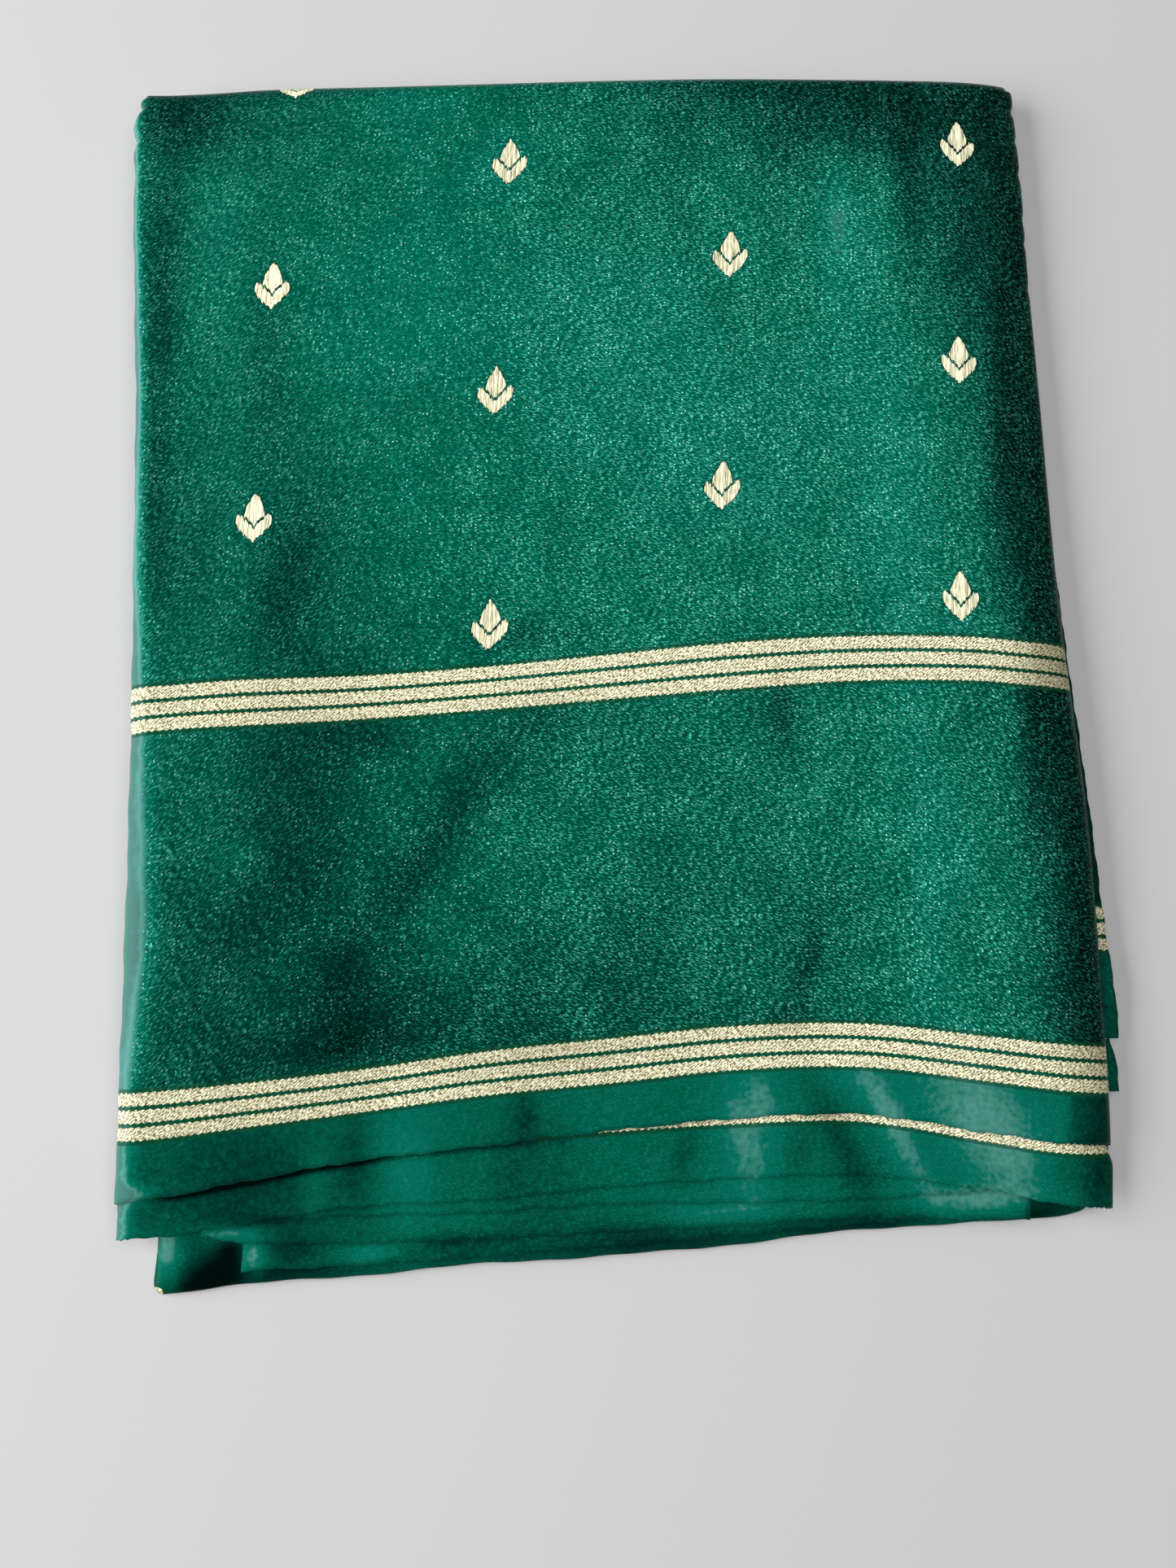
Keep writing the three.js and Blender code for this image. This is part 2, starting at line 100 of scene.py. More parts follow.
# Soft swells and troughs of the whole stack: middle, half length, half width, turn from X in degrees,
# and height.
SWELLS = (
    # x, y, length, width, turn, height
    (-150, -70, 120, 34, 52, -0.9),
    (-178, -150, 60, 32, 80, -0.8),
    (-175, 110, 120, 32, 96, -0.7),
    (-20, -60, 150, 60, 20, 0.8),
    (96, -110, 110, 30, 78, -0.8),
    (165, -90, 130, 36, 86, 0.8),
    (150, 190, 110, 36, 80, 0.7),
    (95, 150, 110, 30, 84, -0.6),
    (-60, 180, 140, 80, 10, 0.6),
)


def hermite(stations: np.ndarray, values: np.ndarray, at: np.ndarray) -> np.ndarray:
    """A smooth curve through a table's column.

    Formula: cubic pieces between stations; the slope at a station is that of the line between its two
    neighbours.

    Args:
        stations: the rows' places, rising.
        values: the column.
        at: where the curve is wanted.

    Returns:
        The curve's values, in the shape of at.
    """
    stations = np.asarray(stations, float)
    values = np.asarray(values, float)
    padded_x = np.concatenate(([stations[0]], stations, [stations[-1]]))
    padded_y = np.concatenate(([values[0]], values, [values[-1]]))
    slope = (padded_y[2:] - padded_y[:-2]) / (padded_x[2:] - padded_x[:-2])
    clamped = np.clip(at, stations[0], stations[-1])
    i = np.clip(np.searchsorted(stations, clamped, side="right") - 1, 0, len(stations) - 2)
    step = stations[i + 1] - stations[i]
    t = (clamped - stations[i]) / step
    start = 2 * t**3 - 3 * t**2 + 1
    leave = t**3 - 2 * t**2 + t
    arrive = t**3 - t**2
    value = start * values[i] + (1 - start) * values[i + 1]
    return value + leave * step * slope[i] + arrive * step * slope[i + 1]


def mounds(table: tuple, x: np.ndarray, y: np.ndarray) -> np.ndarray:
    """The sum of a table of soft mounds at places in plan.

    Formula: each is its height times exp(-a^2 - b^2), where a and b are the distances along and across
    its own axis in half lengths and half widths.

    Args:
        table: rows of middle x, middle y, half length, half width, turn in degrees and height.
        x: places across.
        y: places along.

    Returns:
        The height at each place.
    """
    middle_x, middle_y, length, width, turn, height = (
        np.asarray(column, float)[:, None] for column in zip(*table)
    )
    cos, sin = np.cos(np.radians(turn)), np.sin(np.radians(turn))
    from_x, from_y = x.ravel()[None] - middle_x, y.ravel()[None] - middle_y
    along = (from_x * cos + from_y * sin) / length
    across = (from_y * cos - from_x * sin) / width
    return (height * np.exp(-(along**2) - across**2)).sum(0).reshape(x.shape)


def ripple(at: np.ndarray, waves: tuple) -> np.ndarray:
    """An uneven line.

    Formula: a sum of sines.

    Args:
        at: places along the line.
        waves: rows of wavelength, height and phase.

    Returns:
        How far the line strays at each place.
    """
    return sum(height * np.sin(2 * np.pi * at / length + phase) for length, height, phase in waves)


@dataclass
class StackForm:
    """The shape that every ply follows: the level top of the stack and its rolled edges."""

    height: float = 18.0
    # How far one ply lies under the next.
    pitch: float = 1.9
    # Where the sides' tables are first read, before the edges' exact places are known.
    left_side: float = -236.0
    right_side: float = 234.0
    # The rolled edges: how far each one drops, how wide the far one is, and the corners between them.
    left_roll: float = 7.0
    right_drop: float = 8.0
    top_width: float = 8.0
    top_drop: float = 7.0
    corner: float = 5.5
    # How much thinner the stack gets towards its selvedges, and how the plies droop past the first one.
    thinning: float = 2.0
    thinning_length: float = 40.0
    lip_drop: float = 2.5
    lip_length: float = 25.0
    # The low crest along the inner side of the left roll.
    crest: float = 0.7
    crest_width: float = 7.0
    left_waves: tuple = ((61, 0.25, 0.4), (23, 0.18, 1.7))
    # Creases pressed into the cloth: x, y, half length, half width, turn and height.
    creases: tuple = (
        (-170, 130, 70, 12, 96, -0.35),
        (-160, 25, 45, 11, 78, -0.30),
        (57, 185, 95, 9, 108, -0.25),
        (137, 185, 85, 15, 90, 0.35),
        (-90, -105, 80, 14, 54, -0.55),
        (-126, -172, 26, 16, 90, -0.50),
        (-162, -70, 40, 20, 80, -0.35),
        (84.5, -38, 20, 6, 90, -0.45),
        (94, -160, 24, 7, 77, -0.40),
        (30, -85, 45, 9, 30, -0.20),
        (156, -90, 75, 12, 90, 0.45),
        (-39, -226, 14, 6, 92, -0.50),
        (-98, -250, 26, 10, 90, 0.35),
        (-129, -262, 13, 6, 85, -0.55),
        (36, -245, 13, 6, 78, -0.50),
        (106, -230, 28, 7, 114, -0.80),
        (73, -216, 14, 6, 116, 0.45),
        (134, -230, 28, 8, 115, 0.65),
        (170, -222, 22, 12, 100, 0.40),
    )
    # Small notches in the right edge: place along the stack, depth and half length.
    right_notches: tuple = (
        (293.5, 1.3, 3.0),
        (276.5, 0.8, 2.5),
        (257.0, 1.0, 3.0),
        (231.0, 0.8, 3.0),
        (217.5, 0.7, 2.5),
        (192.0, 0.6, 3.0),
    )
    # The same in the left edge, where a negative depth is a lobe.
    left_notches: tuple = (
        (292.3, 2.6, 2.4),
        (282.0, -1.7, 5.0),
        (273.9, 1.0, 1.6),
        (266.0, -0.9, 5.0),
    )
    # How finely the normal is measured, and how often a place along is worked out again.
    normal_step: float = 1e-3
    passes: int = 4

    def edge(self, name: str, x: np.ndarray) -> np.ndarray:
        """The y of a named edge at places across the stack."""
        return hermite(EDGES["x"], EDGES[name], x)

    def side(self, name: str, y: np.ndarray) -> np.ndarray:
        """A column of SIDES, such as the x of the left or right edge, at places along the stack."""
        return hermite(SIDES["y"], SIDES[name], y)

    def flat_ends(self, x: np.ndarray) -> tuple:
        """The y of the first selvedge and of the start of the top roll at places across the stack."""
        return self.edge("first", x), self.edge("fold", x) - self.top_width

    def top(self, x: np.ndarray, y: np.ndarray) -> np.ndarray:
        """How high the top of the stack is.

        Formula: level, plus the swells and creases, less a parabola near the first selvedge and an
        exponential droop beyond it.

        Args:
            x: places across.
            y: places along.

        Returns:
            Heights above the surface that the stack rests on.
        """
        above = y - self.edge("first", x)
        near = 1 - np.clip(above, 0, self.thinning_length) / self.thinning_length
        droop = self.lip_drop * (1 - np.exp(np.minimum(above, 0) / self.lip_length))
        return self.height + mounds(SWELLS + self.creases, x, y) - self.thinning * near**2 - droop

    def surface(self, across: np.ndarray, along: np.ndarray) -> np.ndarray:
        """Points of the outermost surface.

        Formula: over the flat, the top of the stack between its edges. Each roll is a quarter of an
        ellipse: its inset is width (1 - sin) and its drop is depth (1 - cos) of the angle turned, and
        the height is multiplied by one minus each drop's share of the stack's height. A notch in a side
        is its depth times exp(-d^2), where d is the distance from its place in half lengths.

        Args:
            across: -1 where the left roll stands upright, 0 to 1 over the flat, 2 at the right edge.
            along: 0 at the first selvedge, 1 where the top roll starts, 2 where it stands upright.

        Returns:
            An array of points, in the shape of across and along with 3 added.
        """
        across, along = np.broadcast_arrays(across, along)
        flat_along = np.minimum(along, 1)

        def y_at(x: np.ndarray) -> np.ndarray:
            """The y at a place across, at this share of the way up."""
            low, high = self.flat_ends(x)
            return low + (high - low) * flat_along

        def notched(y: np.ndarray, notches: tuple) -> np.ndarray:
            """How far the notches take a side in."""
            return sum(depth * np.exp(-(((y - at) / half) ** 2)) for at, depth, half in notches)

        over_top = self.top_width * (1 - np.sin(np.maximum(along - 1, 0) * np.pi / 2))
        left_y, right_y = (
            np.where(along > 1, self.edge("fold", side_x) - over_top, y_at(side_x))
            for side_x in (np.full(across.shape, self.left_side), np.full(across.shape, self.right_side))
        )
        left = self.side("left", left_y) + ripple(left_y, self.left_waves)
        left += notched(left_y, self.left_notches)
        right = self.side("right", right_y) - notched(right_y, self.right_notches)
        turns = [np.maximum(turn, 0) * np.pi / 2 for turn in (-across, across - 1, along - 1)]
        widths = (self.side("left_roll", left_y), self.side("roll", right_y), self.top_width)
        drops = (self.left_roll, self.right_drop, self.top_drop)
        insets = [width * (1 - np.sin(turn)) for width, turn in zip(widths, turns)]
        share = np.clip(across, 0, 1)
        x = (left + insets[0]) * (1 - share) + (right - insets[1]) * share
        y = np.where(along > 1, self.edge("fold", x) - insets[2], y_at(x))
        from_left = x - left
        crest = self.crest * np.exp(-(((from_left - widths[0]) / self.crest_width) ** 2))
        z = self.top(x, y) + crest * (across > -1)
        for drop, turn in zip(drops, turns):
            z = z * (1 - drop * (1 - np.cos(turn)) / self.height)
        x, y = self.round_corners(x, y, left, right)
        return np.stack([x, y, z], -1)

    def round_corners(self, x: np.ndarray, y: np.ndarray, left: np.ndarray, right: np.ndarray) -> tuple:
        """Rounds the two corners at the top fold, in plan.

        Formula: within a square at the corner, a point at distances a and b from its inner corner moves
        towards that corner by max(a, b) / hypot(a, b), so the square becomes a quarter disc.

        Args:
            x: places across.
            y: places along.
            left: the left edge there.
            right: the right edge there.

        Returns:
            The new x and y.
        """
        middle_y = self.edge("fold", x) - self.corner
        b = np.maximum(y - middle_y, 0)
        for way, side in ((-1, left), (1, right)):
            middle_x = side - way * self.corner
            a = np.maximum((x - middle_x) * way, 0)
            both = (a > 0) & (b > 0)
            share = np.where(both, np.maximum(a, b) / np.maximum(np.hypot(a, b), 1e-9), 1)
            x = np.where(both, middle_x + way * a * share, x)
            y = np.where(both, middle_y + b * share, y)
        return x, y

    def nested(self, across: np.ndarray, along: np.ndarray, depth: np.ndarray) -> np.ndarray:
        """The same points moved inwards along the surface's normal.

        Formula: the normal is the cross product of the surface's changes across and along, each a
        central difference.

        Args:
            across: as for surface.
            along: as for surface.
            depth: how far inwards.

        Returns:
            An array of points.
        """
        step = self.normal_step
        way_across = self.surface(across + step, along) - self.surface(across - step, along)
        way_along = self.surface(across, along + step) - self.surface(across, along - step)
        normal = np.cross(way_across, way_along)
        normal /= np.maximum(np.linalg.norm(normal, axis=-1, keepdims=True), 1e-12)
        return self.surface(across, along) - normal * np.asarray(depth)[..., None]

    def along_at(self, across: np.ndarray, y: Callable[[np.ndarray], np.ndarray]) -> np.ndarray:
        """The share of the way up where a given y lies, at each column.

        Formula: the y less the first selvedge's, over the length from there to the top roll. The x that
        it depends on settles in a few passes.

        Args:
            across: the columns.
            y: what gives the wanted y at places across the stack.

        Returns:
            The shares, in the shape of across.
        """
        along = np.zeros(np.shape(across))
        for _ in range(self.passes):
            x = self.surface(across, np.minimum(along, 0))[..., 0]
            low, high = self.flat_ends(x)
            along = (y(x) - low) / (high - low)
        return along

    def cloth_v(self, x: np.ndarray, y: np.ndarray) -> np.ndarray:
        """How far a place on the top panel is from its selvedge, on the flat cloth.

        Formula: the distance grows in straight pieces between the selvedge and the stripes' edges, and
        at one to one outside them.

        Args:
            x: places across.
            y: places along.

        Returns:
            The distances.
        """
        lines = [self.edge("first", x)]
        lines += [hermite(STRIPES["x"], STRIPES[name], x) for name in STRIPE_LINES]
        levels = [0.0, *STRIPE_LINES.values()]
        v = np.minimum(y - lines[0], 0) + np.maximum(y - lines[-1], 0)
        for low, high, level, next_level in zip(lines, lines[1:], levels, levels[1:]):
            v = v + np.clip((y - low) / (high - low), 0, 1) * (next_level - level)
        return v


@dataclass
class PaintedLightAndShade:
    """Light and shade painted into the satin's colour: soft patches, brighter above zero and darker below.
    """

    # x, y, half length, half width, turn and strength.
    patches: tuple = (
        # The broad lights and shades.
        (60, 120, 130, 90, 70, 0.40),
        (-60, 180, 90, 60, 0, 0.20),
        (-65, 268, 75, 28, 0, 0.22),
        (-110, 150, 120, 50, 92, 0.25),
        (-205, 215, 60, 16, 90, 0.25),
        (144, 80, 85, 22, 90, 0.45),
        (120, 238, 50, 10, 90, 0.55),
        (142, 235, 50, 9, 90, 0.25),
        (158, 240, 60, 10, 90, -0.40),
        (182, 225, 80, 13, 88, -0.60),
        (182, 300, 20, 12, 90, -0.25),
        (200, 95, 85, 12, 86, -0.40),
        (208, -50, 70, 9, 86, -0.40),
        (93, 220, 50, 22, 90, -0.15),
        (38, 282, 40, 22, 90, -0.22),
        (28, 180, 28, 24, 0, 0.16),
        (153, -110, 90, 26, 90, 0.36),
        (36, -35, 22, 12, 0, 0.10),
        (-160, -125, 75, 50, 70, -0.50),
        (-100, -190, 60, 25, 8, -0.22),
        (-10, -170, 110, 40, 10, -0.34),
        (-150, -50, 60, 28, 80, -0.22),
        (-20, -65, 60, 22, 8, -0.15),
        (-88, -140, 24, 18, 20, 0.22),
        (-180, 40, 90, 42, 0, -0.20),
        (-165, -258, 70, 38, 0, -0.60),
        (-30, -250, 36, 20, 90, -0.34),
        # Beside the left roll.
        (-228, 155, 115, 9, 90, -0.38),
        (-188, 150, 90, 10, 91, 0.20),
        # The top corners and edge, and the right edge.
        (-222, 286, 34, 24, 0, -0.60),
        (-165, 303, 50, 8, 0, -0.45),
        (-104, 296, 40, 14, 0, 0.30),
        (130, 290, 60, 34, 0, -0.80),
        (60, 305, 60, 12, 0, -0.30),
        # Bands that run with the creases.
        (-172, 130, 75, 14, 96, -0.24),
        (-160, 25, 50, 13, 78, -0.27),
        (57, 185, 95, 9, 108, -0.10),
        (-90, -105, 80, 14, 54, -0.32),
        (-95, -150, 45, 12, 84, -0.22),
        (-120, -46, 26, 12, 0, -0.30),
        (-22, -36, 34, 14, 4, -0.30),
        (142, -100, 50, 9, 90, -0.20),
        (164, 6, 26, 9, 0, 0.35),
        (-180, -102, 20, 13, 0, 0.30),
        (-224, -135, 38, 7, 90, 0.25),
        (88, -182, 15, 8, 0, -0.35),
        (-130, -194, 45, 9, 6, -0.30),
        (-20, -197, 32, 8, 5, -0.30),
        (-38, 5, 24, 8, 5, -0.40),
        (-126, -172, 26, 18, 90, -0.36),
        (86, -34, 22, 8, 90, -0.55),
        (94, -160, 24, 7, 77, -0.38),
        (20, -75, 70, 40, 20, 0.10),
        (41, -146, 38, 26, 30, 0.14),
        (122, -60, 40, 10, 90, -0.10),
        # The bands by the selvedges.
        (-222, -262, 9, 4.5, 5, 1.00),
        (-39, -226, 14, 6, 92, -0.40),
        (-95, -250, 34, 14, 90, 0.60),
        (-119, -240, 22, 7, 90, -0.25),
        (-137, -258, 16, 7, 90, 0.40),
        (36, -245, 13, 6, 78, -0.35),
        (64, -236, 34, 14, 98, 0.60),
        (88, -244, 14, 8, 80, -0.30),
        (106, -230, 28, 8, 114, -0.55),
        (73, -216, 14, 6, 116, 0.35),
        (110, -208, 14, 10, 0, 0.25),
        (118, -256, 16, 12, 118, -0.35),
        (134, -232, 36, 7, 118, 0.60),
        (180, -234, 50, 22, 122, 0.65),
        (170, -267, 26, 8, -3, 0.60),
        (200, -274, 16, 6, 0, -0.80),
        (228, -255, 18, 11, 90, -0.45),
        (210, -255, 10, 8, 90, -0.25),
        (-48, -252, 22, 10, 90, -0.25),
        # The lower plies and the lowest fold.
        (-180, -280.5, 14, 3.5, 3, 0.95),
        (-167, -291, 9, 5, 92, 1.00),
        (-147, -289, 12, 7, 0, -0.40),
        (-112, -290, 14, 4, 6, 0.85),
        (-78, -286, 34, 6, 6, -0.55),
        (-165, -275, 22, 4, 4, -0.25),
        (25, -287, 80, 8, 4, -0.45),
        (10, -280, 28, 8, 3, -0.40),
        (48, -272, 26, 6, 3, 0.45),
        (120, -276, 70, 6, 3, -0.45),
    )
    left_light: float = 1.2
    # The shade on the right: how dark, how much further in than its column it reaches, its strength at the
    # near end, and where and over how long it grows to full strength.
    right_shade: float = -1.0
    right_reach: float = 1.1
    near_strength: float = 0.3
    near_end: float = -222.0
    near_length: float = 40.0
    darkest: float = -1.0
    lightest: float = 1.3

    def at(self, form: StackForm, points: np.ndarray) -> np.ndarray:
        """The painted light and shade at points of the cloth.

        Formula: the sum of the patches, a light that falls as exp(-d^3) from the left edge, and a shade
        that deepens as t^2 (3 - 2t) towards the right edge and is weaker at its near end.

        Args:
            form: the stack's form.
            points: places on the cloth.

        Returns:
            The painted light and shade at each.
        """
        x, y = points[..., 0], points[..., 1]
        tone = mounds(self.patches, x, y)
        from_left = (x - form.side("left", y)) / form.side("left_light", y)
        tone += self.left_light * np.exp(-(np.maximum(from_left, 0) ** 3))
        from_right = (form.side("right", y) - x) / form.side("right_shade", y)
        near = np.clip(self.right_reach - from_right, 0, 1)
        growth = np.clip((y - self.near_end) / self.near_length, 0, 1)
        strength = self.near_strength + (1 - self.near_strength) * growth
        tone += self.right_shade * strength * near**2 * (3 - 2 * near)
        return np.clip(tone, self.darkest, self.lightest)


class Weave(Enum):
    """Which part of the cloth's width a piece is cut from."""

    BODY = "body"
    SELVEDGE = "selvedge"
    FOLDS = "folds"


class NodeGraph:
    """A material's nodes, with short calls for the arithmetic between them."""

    def __init__(self, name: str) -> None:
        """Starts an empty material with its output node.

        Args:
            name: the material's name.
        """
        self.material = bpy.data.materials.new(name)
        self.material.use_nodes = True
        self.tree = self.material.node_tree
        self.tree.nodes.clear()
        self.output = self.tree.nodes.new("ShaderNodeOutputMaterial")

    def node(self, kind: str, **settings: object) -> bpy.types.Node:
        """Adds a node.

        Args:
            kind: the node's type.
            settings: its properties.

        Returns:
            The node.
        """
        node = self.tree.nodes.new(kind)
        for name, value in settings.items():
            setattr(node, name, value)
        return node

    def feed(self, socket: bpy.types.NodeSocket, value: object) -> None:
        """Links a socket into another, or sets its value.

        Args:
            socket: what is fed.
            value: a socket, a number or a colour.
        """
        if isinstance(value, bpy.types.NodeSocket):
            self.tree.links.new(value, socket)
        else:
            socket.default_value = value

    def math(self, operation: str, *values: object, clamp: bool = False) -> bpy.types.NodeSocket:
        """One operation on numbers or sockets.

        Args:
            operation: the name of the operation.
            values: one to three numbers or sockets.
            clamp: whether the result is kept from 0 to 1.

        Returns:
            The result.
        """
        node = self.node("ShaderNodeMath", operation=operation, use_clamp=clamp)
        for socket, value in zip(node.inputs, values):
            self.feed(socket, value)
        return node.outputs[0]

    def total(self, *terms: tuple) -> bpy.types.NodeSocket:
        """A sum.

        Args:
            terms: each a number or socket, and the number or socket that it is multiplied by.

        Returns:
            The sum.
        """
        result = 0.0
        for socket, factor in terms:
            result = self.math("MULTIPLY_ADD", socket, factor, result)
        return result

    def least(self, first: object, *others: object) -> bpy.types.NodeSocket:
        """The least of several values.

        Args:
            first: a number or socket.
            others: more of them.

        Returns:
            The least.
        """
        for other in others:
            first = self.math("MINIMUM", first, other)
        return first

    def most(self, first: object, *others: object) -> bpy.types.NodeSocket:
        """The greatest of several values.

        Args:
            first: a number or socket.
            others: more of them.

        Returns:
            The greatest.
        """
        for other in others:
            first = self.math("MAXIMUM", first, other)
        return first

    def ramp(self, value: object, low: float, high: float, smooth: bool = True) -> bpy.types.NodeSocket:
        """0 up to one level and 1 past another, with a rise between.

        Args:
            value: a number or socket.
            low: where the result is 0.
            high: where the result is 1, which may be below low.
            smooth: whether the rise is soft and not straight.

        Returns:
            The result.
        """
        kind = "SMOOTHSTEP" if smooth else "LINEAR"
        node = self.node("ShaderNodeMapRange", interpolation_type=kind, clamp=True)
        self.feed(node.inputs["Value"], value)
        self.feed(node.inputs["From Min"], low)
        self.feed(node.inputs["From Max"], high)
        return node.outputs[0]

    def blend(self, share: object, first: object, second: object) -> bpy.types.NodeSocket:
        """One colour turning into another.

        Args:
            share: how much of the second colour there is, 0 to 1.
            first: a colour or socket.
            second: a colour or socket.

        Returns:
            The colour between them.
        """
        node = self.node("ShaderNodeMix", data_type="RGBA")
        self.feed(node.inputs["Factor"], share)
        colours = [socket for socket in node.inputs if socket.type == "RGBA"]
        self.feed(colours[0], first)
        self.feed(colours[1], second)
        return next(socket for socket in node.outputs if socket.type == "RGBA")

    def shades(self, value: object, stops: tuple) -> bpy.types.NodeSocket:
        """A colour that follows a value from -1 to 1.

        Args:
            value: a number or socket.
            stops: rows of a value and its colour, rising.

        Returns:
            The colour.
        """
        node = self.node("ShaderNodeValToRGB")
        self.feed(node.inputs[0], self.ramp(value, -1.0, 1.0, False))
        elements = node.color_ramp.elements
        for _ in stops[2:]:
            elements.new(0.5)
        for element, (at, colour) in zip(elements, stops):
            element.position = (at + 1) / 2
            element.color = colour
        return node.outputs[0]

    def pair(self, x: object, y: object) -> bpy.types.NodeSocket:
        """Two values as a place on a plane.

        Args:
            x: a number or socket.
            y: a number or socket.

        Returns:
            The place.
        """
        node = self.node("ShaderNodeCombineXYZ")
        self.feed(node.inputs[0], x)
        self.feed(node.inputs[1], y)
        return node.outputs[0]

    def noise(self, at: bpy.types.NodeSocket, scale: float, detail: float = 2.0) -> bpy.types.NodeSocket:
        """Soft noise on a plane.

        Args:
            at: the place.
            scale: how many grains there are to a unit.
            detail: how many finer layers it has.

        Returns:
            The noise, mostly from 0.2 to 0.8.
        """
        node = self.node("ShaderNodeTexNoise", noise_dimensions="2D")
        self.feed(node.inputs["Vector"], at)
        node.inputs["Scale"].default_value = scale
        node.inputs["Detail"].default_value = detail
        return node.outputs[0]

    def scatter(self, at: object) -> bpy.types.NodeSocket:
        """A random number for each whole number.

        Args:
            at: the whole number.

        Returns:
            The random one, from 0 to 1.
        """
        node = self.node("ShaderNodeTexWhiteNoise", noise_dimensions="1D")
        self.feed(node.inputs["W"], at)
        return node.outputs["Value"]


def srgb(red: float, green: float, blue: float) -> tuple:
    """A colour for the shader.

    Formula: the usual curve from display values to linear ones.

    Args:
        red: 0 to 255.
        green: 0 to 255.
        blue: 0 to 255.

    Returns:
        The linear colour with alpha.
    """
    share = np.array([red, green, blue]) / 255
    linear = np.where(share <= 0.04045, share / 12.92, ((share + 0.055) / 1.055) ** 2.4)
    return (*linear.tolist(), 1.0)


@dataclass(frozen=True)
class Zari:
    """The metallic thread of the woven stripes and motifs."""

    bright: tuple = srgb(243, 241, 208)
    dull: tuple = srgb(104, 95, 56)
    # The stripes' colour where painted shade falls on them.
    shaded: tuple = srgb(70, 60, 34)
    roughness: float = 0.42
    # The twill ridges of the stripes: their slant in degrees, their spacing, and the size of one float.
    slant: float = 37.0
    ridge: float = 1.15
    float_length: float = 1.5
    float_width: float = 0.62
    # The stripes' toothed edges: the length of a tooth, its depth, and how far it leans along the stripe.
    tooth: float = 3.3
    tooth_depth: float = 0.75
    tooth_lean: float = -0.6
    # The bare line between two stripes, and how far past them, in stripes, the cloth between takes painted
    # shade.
    gap: float = 1.9
    dark_past: float = 0.12
    # How wide one upright thread of a bud is.
    thread: float = 0.72


@dataclass(frozen=True)
class BudMotif:
    """The woven bud: a drop over a two-leaved calyx, repeated in a staggered lattice."""

    # The lattice: across the cloth, and up it from the stripes.
    column_pitch: float = 118.0
    row_pitch: float = 61.9
    first_column: float = -62.0
    first_row: float = 20.7
    bare_start: float = 3.0
    # The drop: its half width, its lower end's height, its length and the power that it tapers by.
    bud_width: float = 5.1
    bud_low: float = 1.0
    bud_height: float = 11.7
    bud_taper: float = 1.55
    # The V between drop and calyx: its slope, and the heights of its two tips.
    slope: float = 1.04
    bud_tip: float = -4.3
    gap_tip: float = -6.1
    # The calyx: its half width, where it starts to narrow, how far down it ends and its two powers.
    calyx_width: float = 9.0
    calyx_top: float = -2.0
    calyx_drop: float = 10.6
    calyx_taper: float = 1.5
    calyx_round: float = 0.9
    # How its leaves round off above: from where, and by how much a square millimetre.
    leaf_top: float = -1.0
    leaf_round: float = -0.17
    # How far the threads' ends stray, how soft they are, and how far out and how dark the painted shade
    # line round them is.
    ragged: float = 1.7
    softness: float = 0.15
    line_out: float = -1.0
    line_in: float = -0.2
    line: float = 0.85
    # The streaks of light along the threads: how fine they are across and along.
    streaks_across: float = 1.6
    streaks_along: float = 0.16


DARK_SATIN = srgb(0, 15, 11)
PALE_SATIN = srgb(12, 122, 100)


@dataclass(frozen=True)
class Layer:
    """A colour laid on the ground as a value goes from low to high, at most as strongly as it says."""

    colour: tuple
    low: float
    high: float
    strength: float = 1.0

    def lay(self, graph: NodeGraph, ground: object, value: object, where: object) -> bpy.types.NodeSocket:
        """Lays the colour on.

        Formula: its share is a soft rise of the value, times where it may lie, times its strength.

        Args:
            graph: the material's nodes.
            ground: the colour below.
            value: what it follows.
            where: how much of it may show at each place, 0 to 1.

        Returns:
            The colour.
        """
        share = graph.math("MULTIPLY", graph.ramp(value, self.low, self.high), where)
        return graph.blend(graph.math("MULTIPLY", share, self.strength), ground, self.colour)


